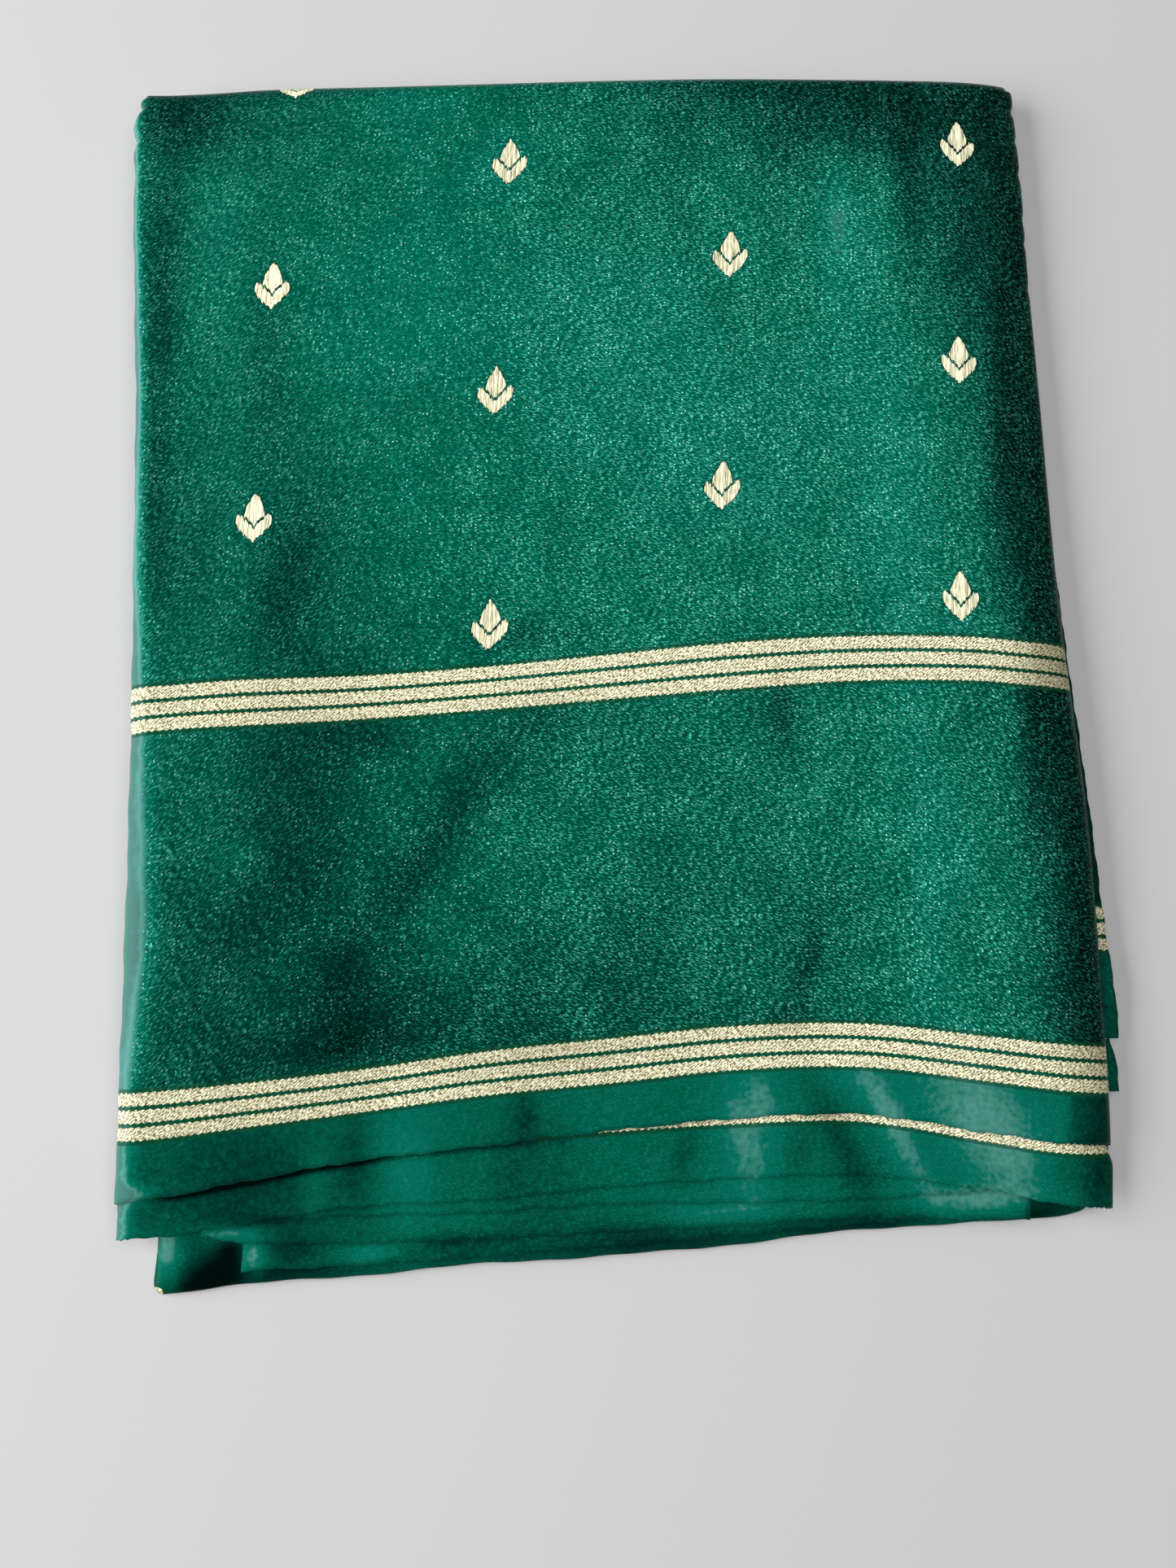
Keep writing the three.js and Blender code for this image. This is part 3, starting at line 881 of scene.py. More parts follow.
@dataclass(frozen=True)
class SareeSatin:
    """Green satin with its stripes and motifs, drawn on the cloth's own coordinates in metres."""

    weave: Weave
    # The ground's colour as its light goes from deep shade to the smooth glare at a rolled edge.
    shades: tuple = (
        (-1.0, srgb(0, 8, 6)),
        (-0.5, srgb(0, 38, 30)),
        (0.0, srgb(0, 69, 53)),
        (0.5, srgb(3, 91, 77)),
        (0.85, srgb(80, 134, 128)),
        (1.0, srgb(66, 106, 100)),
    )
    # The soft noises, in grains to a millimetre, and what each adds to the light.
    cloud_scale: float = 0.012
    cloud_light: float = 0.5
    mottle_scale: float = 0.16
    mottle_light: float = 0.22
    light_offset: float = -0.44
    patch_scale: float = 0.35
    sheen_scale: float = 0.05
    noise_detail: float = 3.0
    # The plain band by the selvedge: how much lighter it is, and how uneven, there and on the folds.
    bare_lift: float = 0.24
    bare_mottle: float = 0.45
    fold_mottle: float = 0.135
    # The floats: their two slants in degrees, their size, and where across the cloth one slant turns into
    # the other.
    rising_slant: float = 36.0
    falling_slant: float = -24.0
    fleck_length: float = 2.4
    fleck_width: float = 0.45
    turn_start: float = -130.0
    turn_end: float = 90.0
    turn_stray: float = 160.0
    # What raises the floats.
    patch_raise: float = 0.26
    sheen_raise: float = 0.12
    raise_offset: float = -0.19
    fleck: Layer = Layer(srgb(0, 113, 86), 0.48, 0.62)
    bright_fleck: Layer = Layer(srgb(80, 178, 162), 0.60, 0.72)
    deep_fleck: Layer = Layer(DARK_SATIN, 0.48, 0.32, 0.40)
    # How clearly the flecks show: between which lights it grows, from what and by how much.
    clear_start: float = -0.8
    clear_end: float = 0.5
    clear_least: float = 0.14
    clear_growth: float = 0.62
    # How the slants add to it, and between which lights glare smooths the flecks away, and how much.
    slant_clear: float = 0.45
    slant_least: float = 0.95
    glare_start: float = 0.5
    glare_end: float = 0.9
    glare_loss: float = -0.9
    # Single floats that catch the light: cells to a millimetre, their dots' rims and how many are chosen.
    spark: tuple = srgb(156, 238, 222)
    spark_cells: float = 0.48
    spark_rim: float = 0.23
    spark_core: float = 0.11
    spark_sheen: float = 0.6
    spark_offset: float = -0.3
    spark_none: float = 0.78
    # The diagonal rib of the plain band, its period and stray, and the lights between which it comes up.
    twill_period: float = 1.0
    twill_stray: float = 3.0
    rib_start: float = -0.9
    rib_end: float = 0.3
    grain: Layer = Layer(PALE_SATIN, 0.45, 0.75, 0.50)
    raised_rib: Layer = Layer(PALE_SATIN, 0.2, 0.9, 0.26)
    sunk_rib: Layer = Layer(DARK_SATIN, 0.3, -0.8, 0.24)
    # The painted shade on the cloth between the stripes, and how far the stripes dull in the painted shade.
    between: tuple = srgb(14, 54, 28)
    between_share: float = 0.65
    zari_shade: float = 0.55
    # Gloss and relief.
    roughness: float = 0.34
    specular: float = 0.16
    specular_tint: tuple = (0.12, 0.95, 0.95, 1)
    bump_strength: float = 0.15
    bump_distance: float = 0.0003
    zari_relief: float = 0.6
    zari: Zari = field(default_factory=Zari)
    motif: BudMotif = field(default_factory=BudMotif)

    def build(self) -> bpy.types.Material:
        """Makes the material.

        Returns:
            The material.
        """
        graph = NodeGraph("SareeSatin_" + self.weave.value)
        uv = graph.node("ShaderNodeUVMap", uv_map=CLOTH_UV).outputs[0]
        apart = graph.node("ShaderNodeSeparateXYZ")
        graph.feed(apart.inputs[0], uv)
        u = graph.math("DIVIDE", apart.outputs[0], MM)
        v = graph.math("DIVIDE", apart.outputs[1], MM)
        tone = graph.node("ShaderNodeAttribute", attribute_name=PAINTED_LIGHT_ATTRIBUTE).outputs["Fac"]
        satin, relief = self.satin(graph, u, v, tone)
        gold, covered, between = self.stripes(graph, u, v)
        # Painted shade on the cloth between the stripes.
        satin = graph.blend(graph.math("MULTIPLY", between, self.between_share), satin, self.between)
        # The stripes dull with the painted shade too, towards the shaded gold.
        shaded = graph.math("MULTIPLY", graph.ramp(tone, 0.1, -1.0, False), self.zari_shade)
        gold = graph.blend(shaded, gold, self.zari.shaded)
        colour = graph.blend(covered, satin, gold)
        rough = graph.total((covered, self.zari.roughness - self.roughness), (self.roughness, 1.0))
        if self.weave is Weave.BODY:
            bud_gold, bud_covered, line = self.buds(graph, u, v)
            # A painted shade line round each bud and calyx.
            colour = graph.blend(line, colour, DARK_SATIN)
            colour = graph.blend(bud_covered, colour, bud_gold)
            covered = graph.most(covered, bud_covered)
        bump = graph.node("ShaderNodeBump")
        bump.inputs["Strength"].default_value = self.bump_strength
        bump.inputs["Distance"].default_value = self.bump_distance
        graph.feed(bump.inputs["Height"], graph.total((relief, 1.0), (covered, self.zari_relief)))
        shader = graph.node("ShaderNodeBsdfPrincipled")
        graph.feed(shader.inputs["Base Color"], colour)
        graph.feed(shader.inputs["Roughness"], rough)
        graph.feed(shader.inputs["Normal"], bump.outputs[0])
        shader.inputs["Specular IOR Level"].default_value = self.specular
        shader.inputs["Specular Tint"].default_value = self.specular_tint
        graph.feed(graph.output.inputs["Surface"], shader.outputs[0])
        return graph.material

    def satin(self, graph: NodeGraph, u: object, v: object, tone: object) -> tuple:
        """The green ground: its light, its flecks, and the rib of its plain band.

        Formula: the light is the painted light and shade plus soft noises, and the shades follow it. The
        floats' relief is noise stretched along two slants, one turning into the other across the cloth.

        Args:
            graph: the material's nodes.
            u: millimetres across the cloth.
            v: millimetres from the selvedge.
            tone: the attribute of painted light and shade.

        Returns:
            The colour and the relief.
        """
        place = graph.pair(u, v)
        cloudy = graph.noise(place, self.cloud_scale, self.noise_detail)
        mottled = graph.noise(place, self.mottle_scale, self.noise_detail)
        patchy = graph.noise(place, self.patch_scale, self.noise_detail)
        inside = self.inside(graph, v)
        bare = graph.math("SUBTRACT", 1.0, inside)
        mottle = self.fold_mottle if self.weave is Weave.FOLDS else self.bare_mottle
        lift = graph.total((graph.math("SUBTRACT", patchy, 0.5), mottle), (self.bare_lift, 1.0))
        light = graph.total((tone, 1.0), (cloudy, self.cloud_light), (mottled, self.mottle_light))
        light = graph.total((light, 1.0), (bare, lift), (self.light_offset, 1.0))
        ground = graph.shades(light, self.shades)
        size = self.fleck_length, self.fleck_width
        falling = self.slanted(graph, u, v, self.falling_slant, *size)
        rising = self.slanted(graph, u, v, self.rising_slant, *size)
        turning = graph.total((u, 1.0), (cloudy, self.turn_stray))
        turned = graph.ramp(turning, self.turn_start, self.turn_end)
        slants = graph.total((graph.math("SUBTRACT", falling, rising), turned), (rising, 1.0))
        if self.weave is Weave.BODY:
            sheen = graph.noise(place, self.sheen_scale, self.noise_detail)
            raised = graph.total((slants, 1.0), (patchy, self.patch_raise), (sheen, self.sheen_raise))
            raised = graph.total((raised, 1.0), (self.raise_offset, 1.0))
            glare = graph.ramp(light, self.glare_start, self.glare_end)
            floats = graph.total((graph.math("MULTIPLY", glare, inside), self.glare_loss), (inside, 1.0))
            clear = graph.ramp(light, self.clear_start, self.clear_end, False)
            clear = graph.total((clear, self.clear_growth), (self.clear_least, 1.0))
            contrast = graph.total((turned, self.slant_clear), (self.slant_least, 1.0))
            clear = graph.math("MULTIPLY", graph.math("MULTIPLY", clear, floats), contrast)
            clear = graph.least(clear, 1.0)
            ground = self.fleck.lay(graph, ground, raised, clear)
            ground = self.bright_fleck.lay(graph, ground, raised, clear)
            ground = self.deep_fleck.lay(graph, ground, raised, floats)
            sparks = graph.math("MULTIPLY", self.sparks(graph, place, sheen), clear)
            ground = graph.blend(sparks, ground, self.spark)
        twill = self.twill(graph, u, v)
        plain = graph.math("MULTIPLY", bare, graph.ramp(light, self.rib_start, self.rib_end))
        ground = self.grain.lay(graph, ground, slants, plain)
        ground = self.raised_rib.lay(graph, ground, twill, plain)
        ground = self.sunk_rib.lay(graph, ground, twill, bare)
        return ground, slants

    def inside(self, graph: NodeGraph, v: object) -> object:
        """1 past the border by the selvedge, where the satin is flecked, and 0 where it is plain."""
        return 0.0 if self.weave is Weave.FOLDS else graph.ramp(v, 43, 44)

    def slanted(
        self, graph: NodeGraph, u: object, v: object, degrees: float, length: float, width: float
    ) -> bpy.types.NodeSocket:
        """Noise drawn out along a slant.

        Formula: plain noise at the place's distances along and across the slant, each over its size.

        Args:
            graph: the material's nodes.
            u: millimetres across the cloth.
            v: millimetres from the selvedge.
            degrees: the slant, up from u.
            length: the size of a float along the slant.
            width: its size across.

        Returns:
            The noise.
        """
        cos, sin = math.cos(math.radians(degrees)), math.sin(math.radians(degrees))
        along = graph.total((u, cos / length), (v, sin / length))
        across = graph.total((u, -sin / width), (v, cos / width))
        return graph.noise(graph.pair(along, across), 1.0, 1.0)

    def twill(self, graph: NodeGraph, u: object, v: object) -> bpy.types.NodeSocket:
        """The fine diagonal rib of the plain band.

        Formula: a sine across the rising slant, strayed by soft noise.

        Args:
            graph: the material's nodes.
            u: millimetres across the cloth.
            v: millimetres from the selvedge.

        Returns:
            The rib's height, -1 to 1.
        """
        slant = math.radians(self.rising_slant)
        turns = 2 * math.pi / self.twill_period
        across = graph.total((u, -math.sin(slant) * turns), (v, math.cos(slant) * turns))
        stray = graph.noise(graph.pair(u, v), 0.3, 1.0)
        return graph.math("SINE", graph.total((across, 1.0), (stray, self.twill_stray)))

    def sparks(self, graph: NodeGraph, place: object, sheen: object) -> bpy.types.NodeSocket:
        """Single floats that catch the light: dots at the middles of random cells.

        Formula: a dot is a soft step of the distance to the nearest cell's middle, and a cell is chosen
        where its random number, raised by the sheen, passes a level.

        Args:
            graph: the material's nodes.
            place: the place on the cloth.
            sheen: soft noise; there are more dots where it is high.

        Returns:
            How bright the dots are, 0 to 1.
        """
        cells = graph.node("ShaderNodeTexVoronoi", voronoi_dimensions="2D", feature="F1")
        graph.feed(cells.inputs["Vector"], place)
        cells.inputs["Scale"].default_value = self.spark_cells
        dots = graph.ramp(cells.outputs["Distance"], self.spark_rim, self.spark_core)
        apart = graph.node("ShaderNodeSeparateColor")
        graph.feed(apart.inputs[0], cells.outputs["Color"])
        chance = graph.total((apart.outputs[0], 1.0), (sheen, self.spark_sheen), (self.spark_offset, 1.0))
        return graph.math("MULTIPLY", dots, graph.ramp(chance, self.spark_none, 1.0, False))

    def stripes(self, graph: NodeGraph, u: object, v: object) -> tuple:
        """The two borders, each of three metallic stripes.

        Formula: a stripe covers v within half its width of its middle line, with a saw-toothed edge.
        The teeth of one edge stand between those of the other. Its slanting ridges are each half a sine
        across the slant, mixed with noise drawn out along it.

        Args:
            graph: the material's nodes.
            u: millimetres across the cloth.
            v: millimetres from the selvedge.

        Returns:
            The colour, where it covers the ground, and where the painted shade lies between the stripes.
        """
        zari = self.zari
        starts = STRIPE_LINES["low_start"], STRIPE_LINES["high_start"]
        ends = STRIPE_LINES["low_end"], STRIPE_LINES["high_end"]
        covers, betweens = [], []
        for start, end in zip(starts, ends):
            width = (end - start) / 3
            place = graph.math("DIVIDE", graph.math("SUBTRACT", v, start), width)
            off_middle = graph.math("SUBTRACT", graph.math("FRACT", place), 0.5)
            from_middle = graph.math("ABSOLUTE", off_middle)
            side = graph.math("GREATER_THAN", off_middle, 0.0)
            tooth = graph.total((u, 1.0), (v, zari.tooth_lean), (side, zari.tooth / 2))
            tooth = graph.math("PINGPONG", tooth, zari.tooth / 2)
            least_reach = 0.5 - (zari.gap + zari.tooth_depth) / 2 / width
            reach = graph.total((tooth, 2 * zari.tooth_depth / zari.tooth / width), (least_reach, 1.0))
            wide = graph.ramp(graph.math("SUBTRACT", reach, from_middle), -0.02, 0.02)
            within = graph.math("COMPARE", place, 1.5, 1.5)
            covers.append(graph.math("MULTIPLY", wide, within))
            betweens.append(graph.math("COMPARE", place, 1.5, 1.5 + zari.dark_past))
        cos, sin = math.cos(math.radians(zari.slant)), math.sin(math.radians(zari.slant))
        uneven = graph.noise(graph.pair(u, v), 0.25, 2.0)
        grain = self.slanted(graph, u, v, zari.slant, zari.float_length, zari.float_width)
        across = graph.total((u, -sin / zari.ridge), (v, cos / zari.ridge), (uneven, 0.9))
        ridge = graph.math("SINE", graph.math("MULTIPLY", graph.math("FRACT", across), math.pi))
        light = graph.total((ridge, 0.55), (grain, 3.2), (uneven, 0.5), (-1.75, 1.0))
        gold = graph.blend(graph.ramp(light, 0.0, 0.9, False), zari.dull, zari.bright)
        return gold, graph.math("ADD", *covers), graph.math("ADD", *betweens)

    def buds(self, graph: NodeGraph, u: object, v: object) -> tuple:
        """The woven buds.

        Formula: the lattice wraps u and v into one cell round its middle, with every other column half a
        step up. The drop is |x| < w (1 - t^p) above a V of the given slope. The calyx lies below the
        same V, inside an outline w (1 - t^p)^q that narrows to a point. Both are cut into upright
        threads, each moved up or down at random.

        Args:
            graph: the material's nodes.
            u: millimetres across the cloth.
            v: millimetres from the selvedge.

        Returns:
            The colour, where it covers the ground, and the painted shade line round it.
        """
        m = self.motif
        from_first = graph.math("DIVIDE", graph.math("SUBTRACT", u, m.first_column), m.column_pitch)
        column = graph.math("ROUND", from_first)
        x = graph.math("MULTIPLY", graph.math("SUBTRACT", from_first, column), m.column_pitch)
        odd = graph.math("PINGPONG", column, 1.0)
        height = graph.total((v, 1.0), (odd, -m.row_pitch), (-STRIPE_LINES["high_end"] - m.first_row, 1.0))
        row = graph.math("ROUND", graph.math("DIVIDE", height, 2 * m.row_pitch))
        smooth_y = graph.total((height, 1.0), (row, -2 * m.row_pitch))
        thread = graph.math("FLOOR", graph.math("DIVIDE", u, self.zari.thread))
        drift = graph.math("SUBTRACT", graph.scatter(thread), 0.5)
        y = graph.total((drift, m.ragged), (smooth_y, 1.0))
        wide = graph.math("ABSOLUTE", x)
        t = graph.math("DIVIDE", graph.math("SUBTRACT", y, m.bud_low), m.bud_height, clamp=True)
        bud_reach = graph.total((graph.math("POWER", t, m.bud_taper), -m.bud_width), (m.bud_width, 1.0))
        bud = graph.math("SUBTRACT", bud_reach, wide)
        below_tip = graph.math("SUBTRACT", m.bud_low + m.bud_height, y)
        above_v = graph.total((y, 1.0), (wide, -m.slope), (-m.bud_tip, 1.0))
        bud = graph.least(bud, above_v, below_tip)
        down = graph.math("DIVIDE", graph.math("SUBTRACT", m.calyx_top, y), m.calyx_drop, clamp=True)
        narrowing = graph.math("SUBTRACT", 1.0, graph.math("POWER", down, m.calyx_taper))
        rise = graph.math("MAXIMUM", graph.math("SUBTRACT", y, m.leaf_top), 0.0)
        calyx_reach = graph.total((graph.math("POWER", narrowing, m.calyx_round), m.calyx_width))
        calyx_reach = graph.total((graph.math("MULTIPLY", rise, rise), m.leaf_round), (calyx_reach, 1.0))
        below_v = graph.total((wide, m.slope), (y, -1.0), (m.gap_tip, 1.0))
        above_end = graph.math("ADD", y, m.calyx_drop - m.calyx_top)
        calyx = graph.least(graph.math("SUBTRACT", calyx_reach, wide), below_v, above_end)
        either = graph.most(bud, calyx)
        start = STRIPE_LINES["high_end"] + m.bare_start
        placed = graph.ramp(v, start, start + 1)
        covered = graph.math("MULTIPLY", graph.ramp(either, -m.softness, m.softness), placed)
        line = graph.math("MULTIPLY", graph.ramp(either, m.line_out, m.line_in), placed)
        along = graph.math("MULTIPLY", v, m.streaks_along)
        streaks = graph.noise(graph.pair(graph.math("MULTIPLY", u, m.streaks_across), along), 1.0, 1.0)
        own_light = graph.scatter(graph.math("ADD", thread, 31.0))
        light = graph.total((streaks, 1.3), (own_light, 0.5), (-0.27, 1.0))
        gold = graph.blend(graph.ramp(light, 0.0, 1.0, False), self.zari.dull, self.zari.bright)
        return gold, covered, graph.math("MULTIPLY", line, m.line)


@dataclass(frozen=True)
class PaleFloor:
    """The plain pale surface that the saree lies on."""

    colour: tuple = (0.45, 0.45, 0.45, 1)
    roughness: float = 0.9

    def build(self) -> bpy.types.Material:
        """Makes the material.

        Returns:
            The material.
        """
        graph = NodeGraph("PaleFloor")
        shader = graph.node("ShaderNodeBsdfPrincipled")
        shader.inputs["Base Color"].default_value = self.colour
        shader.inputs["Roughness"].default_value = self.roughness
        shader.inputs["Specular IOR Level"].default_value = 0.0
        graph.feed(graph.output.inputs["Surface"], shader.outputs[0])
        return graph.material


def new_mesh(
    name: str, points: np.ndarray, faces: np.ndarray, cloth: np.ndarray, tone: np.ndarray
) -> bpy.types.Object:
    """Makes a smooth mesh piece from arrays.

    Args:
        name: the piece's name.
        points: the vertices in millimetres, one row each.
        faces: the corners of each face, four to a row.
        cloth: each vertex's place on the flat cloth, in millimetres.
        tone: each vertex's painted light and shade.

    Returns:
        The piece.
    """
    mesh = bpy.data.meshes.new(name)
    mesh.vertices.add(len(points))
    mesh.vertices.foreach_set("co", (points * MM).astype(np.float32).ravel())
    mesh.loops.add(faces.size)
    mesh.loops.foreach_set("vertex_index", faces.astype(np.int32).ravel())
    mesh.polygons.add(len(faces))
    mesh.polygons.foreach_set("loop_start", np.arange(0, faces.size, 4, dtype=np.int32))
    mesh.update(calc_edges=True)
    mesh.polygons.foreach_set("use_smooth", np.ones(len(faces), bool))
    layer = mesh.uv_layers.new(name=CLOTH_UV)
    layer.uv.foreach_set("vector", (cloth[faces.ravel()] * MM).astype(np.float32).ravel())
    mesh.attributes.new(PAINTED_LIGHT_ATTRIBUTE, "FLOAT", "POINT").data.foreach_set("value", tone.astype(np.float32))
    mesh.validate()
    piece = bpy.data.objects.new(name, mesh)
    bpy.context.scene.collection.objects.link(piece)
    return piece


def grid_faces(rows: int, columns: int, closed: bool = False) -> np.ndarray:
    """The faces of a grid of points numbered row by row, anticlockwise from its outer side.

    Args:
        rows: how many rows of points.
        columns: how many points in a row.
        closed: whether each row's last point joins its first.

    Returns:
        The corners of each face, four to a row.
    """
    index = np.arange(rows * columns).reshape(rows, columns)
    if closed:
        index = np.concatenate([index, index[:, :1]], 1)
    corners = (index[:-1, :-1], index[:-1, 1:], index[1:, 1:], index[1:, :-1])
    return np.stack(corners, -1).reshape(-1, 4)


def arc_lengths(points: np.ndarray, start: int) -> np.ndarray:
    """How far each point of a row is along it from its start column, negative before it.

    Formula: the running sum of the distances between neighbours.

    Args:
        points: rows of points.
        start: the start column.

    Returns:
        The lengths.
    """
    steps = np.linalg.norm(np.diff(points, axis=1), axis=-1)
    lengths = np.concatenate([np.zeros((len(points), 1)), np.cumsum(steps, 1)], 1)
    return lengths - lengths[:, start : start + 1]


def spaced(*stretches: tuple) -> np.ndarray:
    """Values that rise through several stretches.

    Args:
        stretches: each a start, an end and a number of steps.

    Returns:
        The values, with the last stretch's end.
    """
    parts = [np.linspace(start, end, steps, endpoint=False) for start, end, steps in stretches]
    return np.concatenate([*parts, [stretches[-1][1]]])


@dataclass
class ClothPiece:
    """What every piece of the saree has: its node, its weave, the size of its cut and what it rests on."""

    node: str
    form: StackForm
    tones: PaintedLightAndShade
    weave: Weave
    flat: tuple
    rests_on: tuple
    # How thick its wall is made; 0 where its mesh is already closed.
    thickness: float = 0.7

    @property
    def title(self) -> str:
        """The piece's own name, from its node's."""
        return "".join(word.title() for word in self.node.split("_"))

    def finish(self, piece: bpy.types.Object, materials: dict, slot: str = "satin") -> bpy.types.Object:
        """Args:
            piece: the piece.
            materials: the satin of each weave.
            slot: not used.

        Returns:
            The piece.
        """
        if self.thickness:
            wall = piece.modifiers.new("Wall", "SOLIDIFY")
            wall.thickness = self.thickness * MM
            wall.offset = INWARDS
        piece.data.materials.append(materials[self.weave])
        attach(piece, BODY)
        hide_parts(self.node)
        return piece


@dataclass
class TopPanel(ClothPiece):
    """The topmost panel, folded over at the left and the top and rolled down at the right."""

    # How far each side is rolled, in quarter turns, and how many steps a grid has there.
    left_turn: float = 1.38
    right_turn: float = 0.97
    top_turn: float = 1.08
    left_steps: int = 16
    flat_steps: int = 130
    right_steps: int = 24
    # The grid's rows: close by the selvedge and before the top roll.
    row_stretches: tuple = ((0, 0.06, 14), (0.06, 0.92, 126), (0.92, 1, 30))
    top_steps: int = 16
    # How the grain leans, as u by y, and where the cloth has slipped a little, across and then along: x, y,
    # half length, half width, turn and distance.
    grain_turn: float = 0.037
    grain_bends: tuple = (
        (-58, 10, 60, 35, 0, -3.1),
        (-170, 305, 60, 40, 0, -4.4),
        (-51, 261, 40, 30, 0, -1.4),
        (57, 82, 40, 30, 0, 1.5),
    )
    grain_slips: tuple = (
        (-170, 305, 70, 30, 0, 4.6),
        (184, 269, 40, 30, 0, 2.1),
        (178, 150, 40, 35, 0, -1.2),
        (-51, 261, 40, 30, 0, -1.9),
        (-57, 133, 40, 30, 0, 1.4),
        (57, 82, 40, 30, 0, 1.2),
        (-173, 191, 40, 30, 0, -1.0),
    )
    # Where the cloth is pulled over the top fold: x, half width and the share that it is drawn in by.
    top_pull: tuple = (-170, 60, 0.85)
    # The darker patch of painted shade at the right end of the plain band, over a fold beneath: its left
    # side's x where y is 0, its lean, its upper end, its tone, and how wide its edge is.
    under_fold_shade: tuple = (252.7, 0.17, -217.5, -0.33, 2.0)
    # The selvedge's waves, the length of cloth that their height is a share of, and where they end.
    selvedge_waves: tuple = ((37, 0.35, 0.2), (13, 0.22, 1.1), (5.1, 0.14, 2.3))
    wave_length: float = 500.0
    wave_end: float = 0.05

    def build(self, materials: dict) -> bpy.types.Object:
        """Makes the panel.

        Formula: a grid over the stack's form. On the cloth, u is x turned a little by the grain on the
        flat and runs on by arc length round both side rolls, and v runs on by arc length over the top,
        where it is drawn in by a share times exp(-d^2).

        Args:
            materials: the satin of each weave.

        Returns:
            The piece.
        """
        left_roll = (-self.left_turn, 0, self.left_steps)
        right_roll = (1, 1 + self.right_turn, self.right_steps)
        columns = spaced(left_roll, (0, 1, self.flat_steps), right_roll)
        rows = spaced(*self.row_stretches, (1, 1 + self.top_turn, self.top_steps))
        across, along = np.meshgrid(columns, rows)
        waves = ripple(across * GRID_WIDTH, self.selvedge_waves) / self.wave_length
        along = along + waves * np.clip(1 - along / self.wave_end, 0, 1)
        points = self.form.surface(across, along)
        x, y = points[..., 0], points[..., 1]
        at_left, at_right = np.searchsorted(columns, 0), np.searchsorted(columns, 1)
        u = x - self.grain_turn * y
        left, right = arc_lengths(points, at_left), arc_lengths(points, at_right)
        u = np.where(across < 0, u[:, at_left, None] + left, u)
        u = np.where(across > 1, u[:, at_right, None] + right, u)
        u = u + mounds(self.grain_bends, x, y)
        v = self.form.cloth_v(x, y) + mounds(self.grain_slips, x, y)
        at_top = np.searchsorted(rows, 1)
        over = arc_lengths(points.transpose(1, 0, 2), at_top).T
        pulled_at, half_width, drawn_in = self.top_pull
        over = over * (1 + drawn_in * np.exp(-(((x - pulled_at) / half_width) ** 2)))
        v = np.where(along > 1, v[at_top][None] + over, v)
        # Painted shade over the fold beneath, right of a slanting line.
        start, lean, top, depth, edge = self.under_fold_shade
        past = np.clip((x - start - lean * y) / edge, 0, 1) * (y < top)
        tone = self.tones.at(self.form, points) + depth * past
        piece = new_mesh(
            self.title,
            points.reshape(-1, 3),
            grid_faces(*across.shape),
            np.stack([u, v], -1).reshape(-1, 2),
            tone.ravel(),
        )
        return self.finish(piece, materials)


